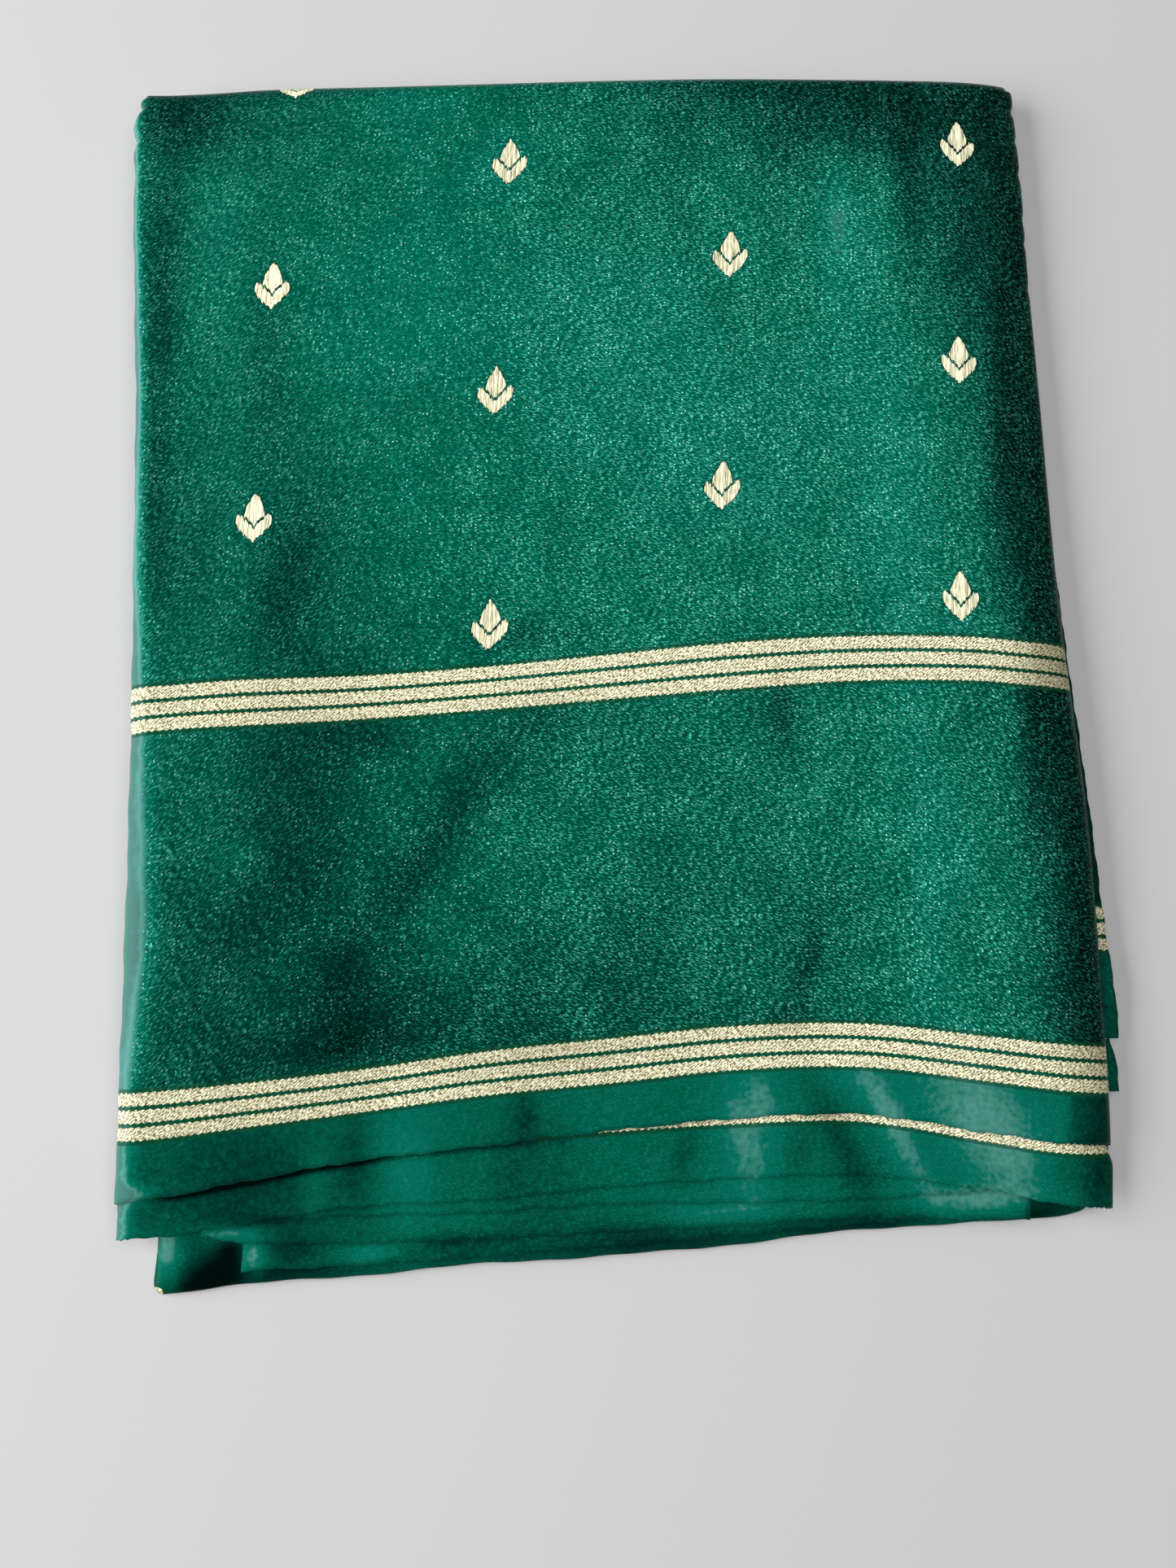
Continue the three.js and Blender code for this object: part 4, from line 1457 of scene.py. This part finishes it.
@dataclass
class TuckedPly(ClothPiece):
    """A ply under the top panel, from its selvedge to where it is tucked in."""

    # Its column in EDGES, how many plies down it is, and how far it is tucked in past the first selvedge.
    edge: str = "second"
    depth: float = 1.0
    tuck: float = 85.0
    # Where it ends to the left and right; an endless one follows the rolls.
    left: float = -math.inf
    right: float = math.inf
    left_turn: float = 1.15
    right_turn: float = 0.84
    # How much of the first stripe shows past the ply above, at the stations of EDGES.
    gold: tuple = ()
    # The painted shade that the whole ply takes.
    painted_shade_shift: float = -0.05
    # How dark the painted shadow under the ply above is, at the left and at the right, and how wide.
    shadow_left: float = 0.6
    shadow_right: float = 0.6
    shadow_width: float = 2.0
    # Where that shadow fades in at the left, and turns from its left to its right darkness: x and length.
    shadow_start: tuple = (-218, 20)
    shadow_turn: tuple = (-120, 110)
    # How far the bare band's ends stand out past the ply above, where that starts, and over what length.
    left_out: float = 0.0
    right_out: float = 0.0
    out_start: float = 170.0
    left_out_length: float = 60.0
    right_out_length: float = 45.0
    out_rise: float = 8.0
    # How the grain leans, and how far each ply's threads lie beside those of the one above.
    grain_turn: float = 0.04
    thread_step: float = 17.0
    selvedge_waves: tuple = ((31, 0.40, 0.9), (11, 0.25, 0.3), (4.7, 0.15, 1.3))

    def build(self, materials: dict) -> bpy.types.Object:
        """Makes the ply.

        Formula: the stack's form moved in by its depth, between its selvedge and its tucked edge. On the
        cloth, v goes from 0 at the selvedge to the first stripe, and on from there at one to one. The
        painted shadow under the ply above is as dark as exp(-d^2) of the distance from that ply's selvedge.

        Args:
            materials: the satin of each weave.

        Returns:
            The piece.
        """
        if math.isinf(self.left):
            columns = spaced((-self.left_turn, 0, 12), (0, 1, 130), (1, 1 + self.right_turn, 20))
        else:
            columns = self.column(np.linspace(self.left, self.right, 130))
        share = spaced((0, 1, 14), (1, 2, 14))
        across, share = np.meshgrid(columns, share)
        waves = ripple(columns * GRID_WIDTH, self.selvedge_waves)
        outer = self.form.along_at(columns, lambda x: self.form.edge(self.edge, x) + waves)
        inner = self.form.along_at(columns, lambda x: self.form.edge("first", x) + self.tuck)
        along = np.where(share < 1, outer * (1 - share), inner * (share - 1))
        points = self.form.nested(across, along, self.depth * self.form.pitch)
        x, y = points[..., 0], points[..., 1]
        start, selvedge = self.form.edge("first", x), self.form.edge(self.edge, x)
        bare = np.clip((start - y - 1) / self.out_rise, 0, 1)
        points[..., 0] -= self.left_out * bare * np.clip((-self.out_start - x) / self.left_out_length, 0, 1)
        to_right = np.clip((x - self.out_start) / self.right_out_length, 0, 1)
        points[..., 0] += self.right_out * bare * to_right
        first_stripe = STRIPE_LINES["low_start"]
        v = np.minimum(y - selvedge, first_stripe - 1)
        if self.gold:
            stripe = start - hermite(EDGES["x"], self.gold, x)
            v = np.clip((y - selvedge) / (stripe - selvedge), 0, 1) * first_stripe
            v = v + np.maximum(y - stripe, 0)
        u = x - self.grain_turn * y + self.thread_step * self.depth
        tone = self.tones.at(self.form, points) + self.painted_shade_shift
        # A painted shadow under the ply above.
        tone = tone - self.shadow(x) * np.exp(-(((y - start) / self.shadow_width) ** 2))
        piece = new_mesh(
            self.title,
            points.reshape(-1, 3),
            grid_faces(*across.shape),
            np.stack([u, v], -1).reshape(-1, 2),
            tone.ravel(),
        )
        return self.finish(piece, materials)

    def shadow(self, x: np.ndarray) -> np.ndarray:
        """How dark the painted shadow under the ply above is.

        Formula: it goes straight from its left to its right darkness, and fades in at the left.

        Args:
            x: places across.

        Returns:
            The darkness at each.
        """
        start, turn = (
            np.clip((x - at) / length, 0, 1) for at, length in (self.shadow_start, self.shadow_turn)
        )
        return (self.shadow_left + (self.shadow_right - self.shadow_left) * turn) * start

    def column(self, x: np.ndarray) -> np.ndarray:
        """The columns of the flat part that pass through places across the near edge.

        Args:
            x: the places.

        Returns:
            The columns, 0 at the left roll and 1 at the right one.
        """
        left = SIDES["left"][0] + self.form.left_roll
        right = SIDES["right"][0] - SIDES["roll"][0]
        return (x - left) / (right - left)


@dataclass
class LowestFold(ClothPiece):
    """The lowest fold: a soft roll with a crease along its near side, closed at both ends."""

    left: float = -213.0
    right: float = 229.5
    # Over what length each end rounds off, how much narrower it gets there, and its least share of itself.
    round_left: float = 5.0
    round_right: float = 7.0
    narrow: float = 5.0
    least: float = 0.3
    # The notch between the two lobes of its left end: where, how deep and its half length.
    lobe_notch: tuple = (-298.7, 2.2, 2.2)
    # How much further out its left end stands at its near side, from where that starts and over what
    # length, and how soon both fade along the fold.
    left_bow: float = 1.8
    bow_start: float = -286.0
    bow_length: float = 14.0
    end_fade: float = 9.0
    # The corner where a bit of the stripe shows, how far round it, and the cloth's v there and elsewhere.
    gold_corner: tuple = (-212.0, -309.0)
    gold_reach: float = 6.0
    gold_v: float = 225.5
    plain_v: float = 250.0
    # The painted shade that the whole fold takes.
    painted_shade_shift: float = -0.20
    # Its own painted lights and shades, as in PaintedLightAndShade.
    patches: tuple = (
        (-208, -286, 20, 7, 94, 1.25),
        (-179, -288, 14, 7, 70, -0.60),
        (-194, -304, 20, 8, 8, -0.85),
        (-150, -298, 40, 6, 6, -0.45),
        (208, -266, 18, 8, 0, -0.45),
    )
    # How far it is tucked in past the first selvedge, how many plies down its top is, and the gap there.
    tuck: float = 10.0
    depth: float = 5.0
    gap: float = 0.3
    waves: tuple = ((83, 0.35, 0.5), (29, 0.22, 2.0))
    # The section from the underside up over the top: how far in from the outline, and share of the height.
    section: tuple = (
        (9.0, 0.0),
        (2.2, 0.0),
        (0.6, 0.10),
        (0.3, 0.22),
        (1.2, 0.36),
        (2.4, 0.43),
        (1.3, 0.50),
        (0.4, 0.62),
        (0.9, 0.80),
        (3.2, 0.95),
        (9.0, 1.0),
    )

    def build(self, materials: dict) -> bpy.types.Object:
        """Makes the fold.

        Formula: a rounded section carried along the near edge. Its width and height fall at each end as
        the square root of 1 - t^2, to a share of themselves, and a flat cap closes them.

        Args:
            materials: the satin of each weave.

        Returns:
            The piece.
        """
        share = spaced((0, 0.03, 10), (0.03, 0.95, 130), (0.95, 1, 16))
        x = self.left + (self.right - self.left) * share
        to_end = np.minimum((x - self.left) / self.round_left, (self.right - x) / self.round_right)
        round_off = np.maximum(np.sqrt(1 - (1 - np.clip(to_end, 0, 1)) ** 2), self.least)
        near, far = self.form.edge("lowest", x), self.form.edge("first", x) + self.tuck
        inset, level = np.array(self.section).T
        steps = np.linspace(0, 1, 7)[1:]
        middle_in = np.concatenate([inset, np.full(len(steps), inset[-1])])
        toward = np.concatenate([np.zeros(len(inset)), steps])
        levels = np.concatenate([level, np.ones(len(steps))])
        lobe_y = near[:, None] + middle_in + ((1 - round_off) * self.narrow)[:, None]
        y = lobe_y * (1 - toward) + far[:, None] * toward
        wide_x = np.broadcast_to(x[:, None], y.shape)
        top = self.form.top(wide_x, y) - self.depth * self.form.pitch - self.gap
        z = levels * top * round_off[:, None]
        y = y + ripple(wide_x, self.waves) * np.sin(np.pi * levels)
        at, dent, half = self.lobe_notch
        at_left = np.exp(-((wide_x - self.left) / self.end_fade))
        bow = self.left_bow * np.clip((self.bow_start - y) / self.bow_length, 0, 1)
        wide_x = wide_x + (dent * np.exp(-(((y - at) / half) ** 2)) - bow) * at_left
        back = np.stack([wide_x[:, -1:], y[:, -1:], np.zeros((len(x), 1))], -1)
        points = np.concatenate([np.stack([wide_x, y, z], -1), back], 1)
        vertices = np.concatenate([points.reshape(-1, 3), points[[0, -1]].mean(1)])
        from_corner = np.hypot(points[..., 0] - self.gold_corner[0], points[..., 1] - self.gold_corner[1])
        plain_v = self.plain_v + arc_lengths(points, 0)
        cloth_v = np.where(from_corner < self.gold_reach, self.gold_v + from_corner, plain_v)
        cloth = np.stack([points[..., 0] - self.left, cloth_v], -1).reshape(-1, 2)
        middle_v = self.plain_v + 10
        cloth = np.concatenate([cloth, [[0, middle_v], [self.right - self.left, middle_v]]])
        tone = mounds(self.tones.patches + self.patches, vertices[:, 0], vertices[:, 1]) + self.painted_shade_shift
        piece = new_mesh(self.title, vertices, self.faces(*points.shape[:2]), cloth, tone)
        return self.finish(piece, materials)

    def faces(self, rows: int, count: int) -> np.ndarray:
        """The fold's faces: its closed rings, and a fan of four-cornered faces over each end.

        Args:
            rows: how many rings there are.
            count: how many points a ring has; the middles of the two end caps follow the last ring.

        Returns:
            The corners of each face, four to a row.
        """
        parts = [grid_faces(rows, count, closed=True)[:, ::-1]]
        for row, middle, way in ((0, rows * count, 1), (rows - 1, rows * count + 1, -1)):
            ring = row * count + np.arange(count)
            corners = [np.roll(ring, -step)[::2] for step in range(3)]
            parts.append(np.stack([*corners, np.full(count // 2, middle)], -1)[:, ::way])
        return np.concatenate(parts)


@dataclass
class RightFlap(ClothPiece):
    """The corner of a lower panel, showing past the right edge."""

    # How high it lies, how far in under the top panel it starts, and how far its outer edge droops.
    top: float = 9.7
    reach: float = 14.0
    droop: float = 0.5
    # Where its outer edge lies: y, x.
    rows: tuple = ()
    # Where its stripe starts, measured up from its corner.
    stripe_from: float = 60.0
    least_width: float = 2.0
    edge_waves: tuple = ((23, 0.25, 0.4), (9, 0.15, 1.0))
    height_waves: tuple = ((44, 0.20, 0.6), (19, 0.12, 2.0))
    # Its painted shade, and how much more shade is painted by the top panel's edge, fading over what
    # length.
    tone: float = -0.35
    edge_shade: float = -0.2
    shade_length: float = 2.5

    def build(self, materials: dict) -> bpy.types.Object:
        """Makes the flap.

        Formula: a flat strip from inside the stack to its outer edge, which droops as the square of the
        way out, with a soft ripple along it.

        Args:
            materials: the satin of each weave.

        Returns:
            The piece.
        """
        station_y, station_x = np.array(sorted(self.rows)).T
        y = np.linspace(station_y[0], station_y[-1], 90)
        share = np.linspace(0, 1, 12)
        inner = self.form.side("right", y) - self.reach
        outer = hermite(station_y, station_x, y) + ripple(y, self.edge_waves)
        outer = np.maximum(outer, inner + self.least_width)
        share, wide_y = np.meshgrid(share, y)
        x = inner[:, None] * (1 - share) + outer[:, None] * share
        z = self.top - self.droop * share**2 + ripple(wide_y, self.height_waves) * share
        points = np.stack([x, wide_y, z], -1)
        up = wide_y - station_y[0] - self.stripe_from
        cloth = np.stack([x, STRIPE_LINES["low_start"] + up], -1)
        out = x - self.form.side("right", wide_y)
        # Painted shade, deeper by the top panel's edge.
        tone = self.tone + self.edge_shade * np.exp(-out / self.shade_length)
        piece = new_mesh(
            self.title,
            points.reshape(-1, 3),
            grid_faces(*share.shape),
            cloth.reshape(-1, 2),
            np.clip(tone, -1, 1).ravel(),
        )
        return self.finish(piece, materials)


@dataclass
class FoldedCore(ClothPiece):
    """The hidden panels as one body, with a lobe round its edge for every few plies."""

    # The lobes, how many rows each has, how deep they are, and the power that rounds them.
    lobes: int = 9
    lobe_rows: int = 8
    lobe_depth: float = 1.5
    lobe_power: float = 0.7
    # How far every ring stays in from the outline, and how far the lobes lie further in: the mean, then for
    # each sine its height and its angles in radians, from lobe to lobe and once round the outline.
    inset: float = 0.3
    set_back: float = 0.8
    set_back_waves: tuple = ((0.9, 2.3, 40), (0.5, 4.1, 133))
    # How the lobes stray up and down: the share, the turns round the outline and those up it.
    strays: tuple = ((0.035, 3, 1.7), (0.02, 11, 3))
    # How far its near edge lies past the first selvedge, and the length of flat that this is a share of.
    front_overhang: float = 12.0
    flat_length: float = 540.0
    # How far its rim stays under the top panel, and the rings that close it below and above: the shares
    # of the way out, and the distances in.
    rim_depth: float = 2.6
    neck: float = 1.0
    under_shares: tuple = (0.1, 0.5)
    over_insets: tuple = (6.0, 14.0, 30.0)
    over_slope: float = 0.2
    over_plies: float = 2.0
    side_points: int = 150
    # The cloth's v from the lowest lobe to the highest one, and the painted shade of lobes and hidden
    # parts.
    plain_v: tuple = (300.0, 360.0)
    painted_shade_shift: float = -0.15
    groove_shade: float = 0.9

    def build(self, materials: dict) -> bpy.types.Object:
        """Makes the core.

        Formula: rings round the outline, from the middle of the underside out to the rim, up the sides
        in scallops |sin| to the power 0.7, whose heights and depths stray as sums of sines, and back in
        under the top panel.

        Args:
            materials: the satin of each weave.

        Returns:
            The piece.
        """
        outline, top = self.outline()
        count = len(outline)
        middle = outline.mean(0)
        inward = middle - outline
        inward /= np.linalg.norm(inward, axis=1, keepdims=True)
        levels = np.linspace(0, 1, self.lobes * self.lobe_rows + 1)
        around, level = np.meshgrid(np.arange(count) / count, levels)
        stray = sum(
            share * np.sin(2 * np.pi * (round_turns * around + up_turns * level))
            for share, round_turns, up_turns in self.strays
        )
        phase = np.clip(level + stray * np.sin(np.pi * level), 0, 1) * self.lobes
        number = np.floor(np.minimum(phase, self.lobes - 1e-6))
        scallop = np.abs(np.sin(np.pi * phase)) ** self.lobe_power
        back = self.set_back + sum(
            height * np.sin(number * step + around * turns) for height, step, turns in self.set_back_waves
        )
        inset = self.lobe_depth * (1 - scallop) + np.maximum(back, 0) + self.inset
        side = outline[None] + inward[None] * inset[..., None]
        side = np.concatenate([side, (level * (top[None] - self.neck))[..., None]], -1)
        shares = np.array(self.under_shares)[:, None, None]
        under = outline[None] * shares + middle * (1 - shares)
        under = np.concatenate([under, np.zeros((len(shares), count, 1))], -1)
        insets = np.array(self.over_insets)[:, None]
        over = outline[None] + inward[None] * insets[..., None]
        ceiling = self.form.top(over[..., 0], over[..., 1]) - self.over_plies * self.form.pitch
        over_z = np.minimum(ceiling, top[None] - self.neck + self.over_slope * insets)
        over = np.concatenate([over, over_z[..., None]], -1)
        points = np.concatenate([under, side, over])
        steps = np.linalg.norm(np.diff(outline, axis=0, append=outline[:1]), axis=1)
        low_v, high_v = self.plain_v
        side_v = low_v + levels * (high_v - low_v)
        v = np.concatenate([np.zeros(len(under)), side_v, np.full(len(over), high_v + 1)])
        cloth = np.stack(np.broadcast_arrays(steps.cumsum()[None], v[:, None]), -1).reshape(-1, 2)
        # Painted shade in the grooves between lobes and over the hidden parts.
        groove = self.groove_shade * (scallop - 1)
        hidden = np.full((len(over), count), -self.groove_shade)
        tone = np.concatenate([np.zeros((len(under), count)), groove, hidden]) + self.painted_shade_shift
        faces = grid_faces(len(points), count, closed=True)
        piece = new_mesh(self.title, points.reshape(-1, 3), faces, cloth, tone.ravel())
        return self.finish(piece, materials, "core_satin")

    def outline(self) -> tuple:
        """The core's outline in plan, anticlockwise, and the height of its rim there.

        Formula: the stack's form along its upright sides and a line past the first selvedge; the rim is
        the lower of that edge and the form moved in.

        Returns:
            The points in plan and their heights.
        """
        front = -self.front_overhang / self.flat_length
        corners = ((-1, front), (2, front), (2, 2), (-1, 2), (-1, front))
        across, along = (
            np.concatenate(
                [
                    np.linspace(start[axis], end[axis], self.side_points)[:-1]
                    for start, end in zip(corners, corners[1:])
                ]
            )
            for axis in (0, 1)
        )
        rim = self.form.surface(across, along)
        under = self.form.nested(across, along, self.rim_depth)[..., 2]
        return rim[:, :2], np.minimum(rim[:, 2], under)


@dataclass
class Softbox:
    """A large soft light, aimed at the middle of the saree: its place and size in metres and its watts."""

    name: str
    place: tuple
    size: tuple
    power: float

    def build(self) -> bpy.types.Object:
        """Makes the light, which the satin doesn't mirror.

        Returns:
            The light's object.
        """
        light = bpy.data.lights.new(self.name, "AREA")
        light.shape = "RECTANGLE"
        light.size, light.size_y = self.size
        light.energy = self.power
        lamp = bpy.data.objects.new(self.name, light)
        bpy.context.scene.collection.objects.link(lamp)
        lamp.location = self.place
        lamp.rotation_euler = (-Vector(self.place)).to_track_quat("-Z", "Y").to_euler()
        lamp.visible_glossy = False
        return lamp


@dataclass
class Studio:
    """The floor, the soft lights and the camera."""

    # The floor's side and how far it lies under the saree, in metres, and the strength of the grey around.
    floor_size: float = 6.0
    floor_drop: float = 0.0002
    ambient: float = 0.06
    # The camera's place, its tilt in degrees, and its lens and sensor.
    camera_place: tuple = (-10.0, -149.1, 584.4)
    camera_tilt: float = 8.0
    lens: float = 27.05
    sensor: float = 36.0
    clip_start: float = 0.01
    softboxes: tuple = (
        Softbox("LeftSoftbox", (-2.6, 0.0, 1.25), (3.2, 1.8), 166.0),
        Softbox("TopSoftbox", (0.25, 0.0, 2.0), (2.4, 2.4), 42.0),
    )

    def build(self) -> None:
        """Makes everything round the saree."""
        self.build_floor()
        self.build_world()
        for softbox in self.softboxes:
            softbox.build()
        self.build_camera()
        bpy.context.scene.view_settings.view_transform = "Standard"
        bpy.context.scene.view_settings.look = "None"

    def build_floor(self) -> None:
        """Makes the plain pale floor, just under the saree."""
        half = self.floor_size / 2
        mesh = bpy.data.meshes.new("Floor")
        corners = [(-half, -half), (half, -half), (half, half), (-half, half)]
        mesh.from_pydata([(x, y, -self.floor_drop) for x, y in corners], [], [(0, 1, 2, 3)])
        floor = bpy.data.objects.new("Floor", mesh)
        bpy.context.scene.collection.objects.link(floor)
        mesh.materials.append(PaleFloor().build())

    def build_world(self) -> None:
        """Gives the surroundings an even dim grey."""
        world = bpy.data.worlds.new("Studio")
        world.use_nodes = True
        background = world.node_tree.nodes["Background"]
        background.inputs["Color"].default_value = (1, 1, 1, 1)
        background.inputs["Strength"].default_value = self.ambient
        bpy.context.scene.world = world

    def build_camera(self) -> None:
        """Places the camera above the near half, tipped a little towards the far edge."""
        camera = bpy.data.cameras.new("Camera")
        camera.lens = self.lens
        camera.sensor_width = self.sensor
        camera.sensor_fit = "AUTO"
        camera.clip_start = self.clip_start
        holder = bpy.data.objects.new("Camera", camera)
        bpy.context.scene.collection.objects.link(holder)
        holder.location = [place * MM for place in self.camera_place]
        holder.rotation_euler = (math.radians(self.camera_tilt), 0, 0)
        bpy.context.scene.camera = holder


# How much of the first stripe shows on the second ply, at the stations of EDGES.
SECOND_PLY_GOLD = (-2, -2, -2, -2, -1.5, 1.5, 3.6, 4.4, 5.3, 5.9, 4.8)

# The plies that are seen only as strips between two ends.
SHORT_PLIES = (
    # node, what it rests on, width and length of its cut in metres, edge, depth, tuck, left, right
    ("third_ply", "fourth_ply", (0.352, 0.10), "third", 2.0, 66.0, -176.0, 176.0),
    ("fourth_ply", "fifth_ply", (0.386, 0.095), "fourth", 3.0, 50.0, -194.0, 197.0),
    ("fifth_ply", "lowest_fold", (0.35, 0.085), "fifth", 4.0, 35.0, -175.0, 180.0),
)

# The outer edges of the flaps: y, x.
UPPER_FLAP_EDGE = (
    (42, 226.5),
    (0, 229.5),
    (-60, 234.8),
    (-105, 238.3),
    (-128, 239.6),
    (-150, 241.8),
    (-170, 243.5),
    (-176.2, 243.9),
)
MIDDLE_FLAP_EDGE = (
    (20, 226),
    (-60, 234),
    (-128, 240.5),
    (-165, 243.6),
    (-180, 244.8),
    (-191.3, 245),
)
LOWER_FLAP_EDGE = (
    (-20, 226.5),
    (-90, 234.5),
    (-150, 239.5),
    (-192, 241.5),
    (-202, 243.6),
    (-216.3, 244.3),
)
FLAPS = (
    # node, height, reach in, outer edge, start of its stripe
    ("right_flap_upper", 9.7, 14.0, UPPER_FLAP_EDGE, 26.0),
    ("right_flap_middle", 7.8, 15.0, MIDDLE_FLAP_EDGE, 70.0),
    ("right_flap_lower", 5.9, 16.0, LOWER_FLAP_EDGE, 24.0),
)
FLAP_WIDTH = 0.02


def saree_pieces() -> list:
    """Every piece of the saree with its sizes, from the top panel down.

    Returns:
        The pieces, not yet built.
    """
    common = {"form": StackForm(), "tones": PaintedLightAndShade()}
    selvedge = {"weave": Weave.SELVEDGE, **common}
    folds = {"weave": Weave.FOLDS, "thickness": 0, **common}
    below = ("second_ply", "folded_core")
    pieces = [
        TopPanel("top_panel", weave=Weave.BODY, flat=(0.50, 0.56), rests_on=below, **common),
        TuckedPly(
            "second_ply",
            flat=(0.49, 0.115),
            rests_on=("third_ply",),
            gold=SECOND_PLY_GOLD,
            shadow_left=1.1,
            shadow_right=0.3,
            shadow_width=2.2,
            left_out=1.0,
            right_out=3.0,
            **selvedge,
        ),
    ]
    for node, rests_on, flat, edge, depth, tuck, left, right in SHORT_PLIES:
        places = {"edge": edge, "depth": depth, "tuck": tuck, "left": left, "right": right}
        pieces.append(TuckedPly(node, flat=flat, rests_on=(rests_on,), **places, **selvedge))
    pieces.append(LowestFold("lowest_fold", flat=(0.44, 0.07), rests_on=("folded_core",), **folds))
    pieces.append(FoldedCore("folded_core", flat=(0.50, 0.56), rests_on=("lowest_fold",), **folds))
    for node, top, reach, rows, stripe_from in FLAPS:
        flat = (FLAP_WIDTH, (rows[0][0] - rows[-1][0]) * MM)
        places = {"top": top, "reach": reach, "rows": rows, "stripe_from": stripe_from}
        pieces.append(RightFlap(node, flat=flat, rests_on=("folded_core",), **places, **selvedge))
    return pieces


def build_saree() -> None:
    """Makes the materials and every piece of the saree, and reports each one."""
    materials = {weave: SareeSatin(weave).build() for weave in Weave}
    for piece in saree_pieces():
        made = piece.build(materials)
        LOG.info("%s: %d faces", made.name, len(made.data.polygons))


def main() -> None:
    """Builds the saree and the studio round it."""
    logging.basicConfig(level=logging.INFO, format="%(name)s: %(message)s")
    build_saree()
    Studio().build()


if __name__ == "__main__":
    main()
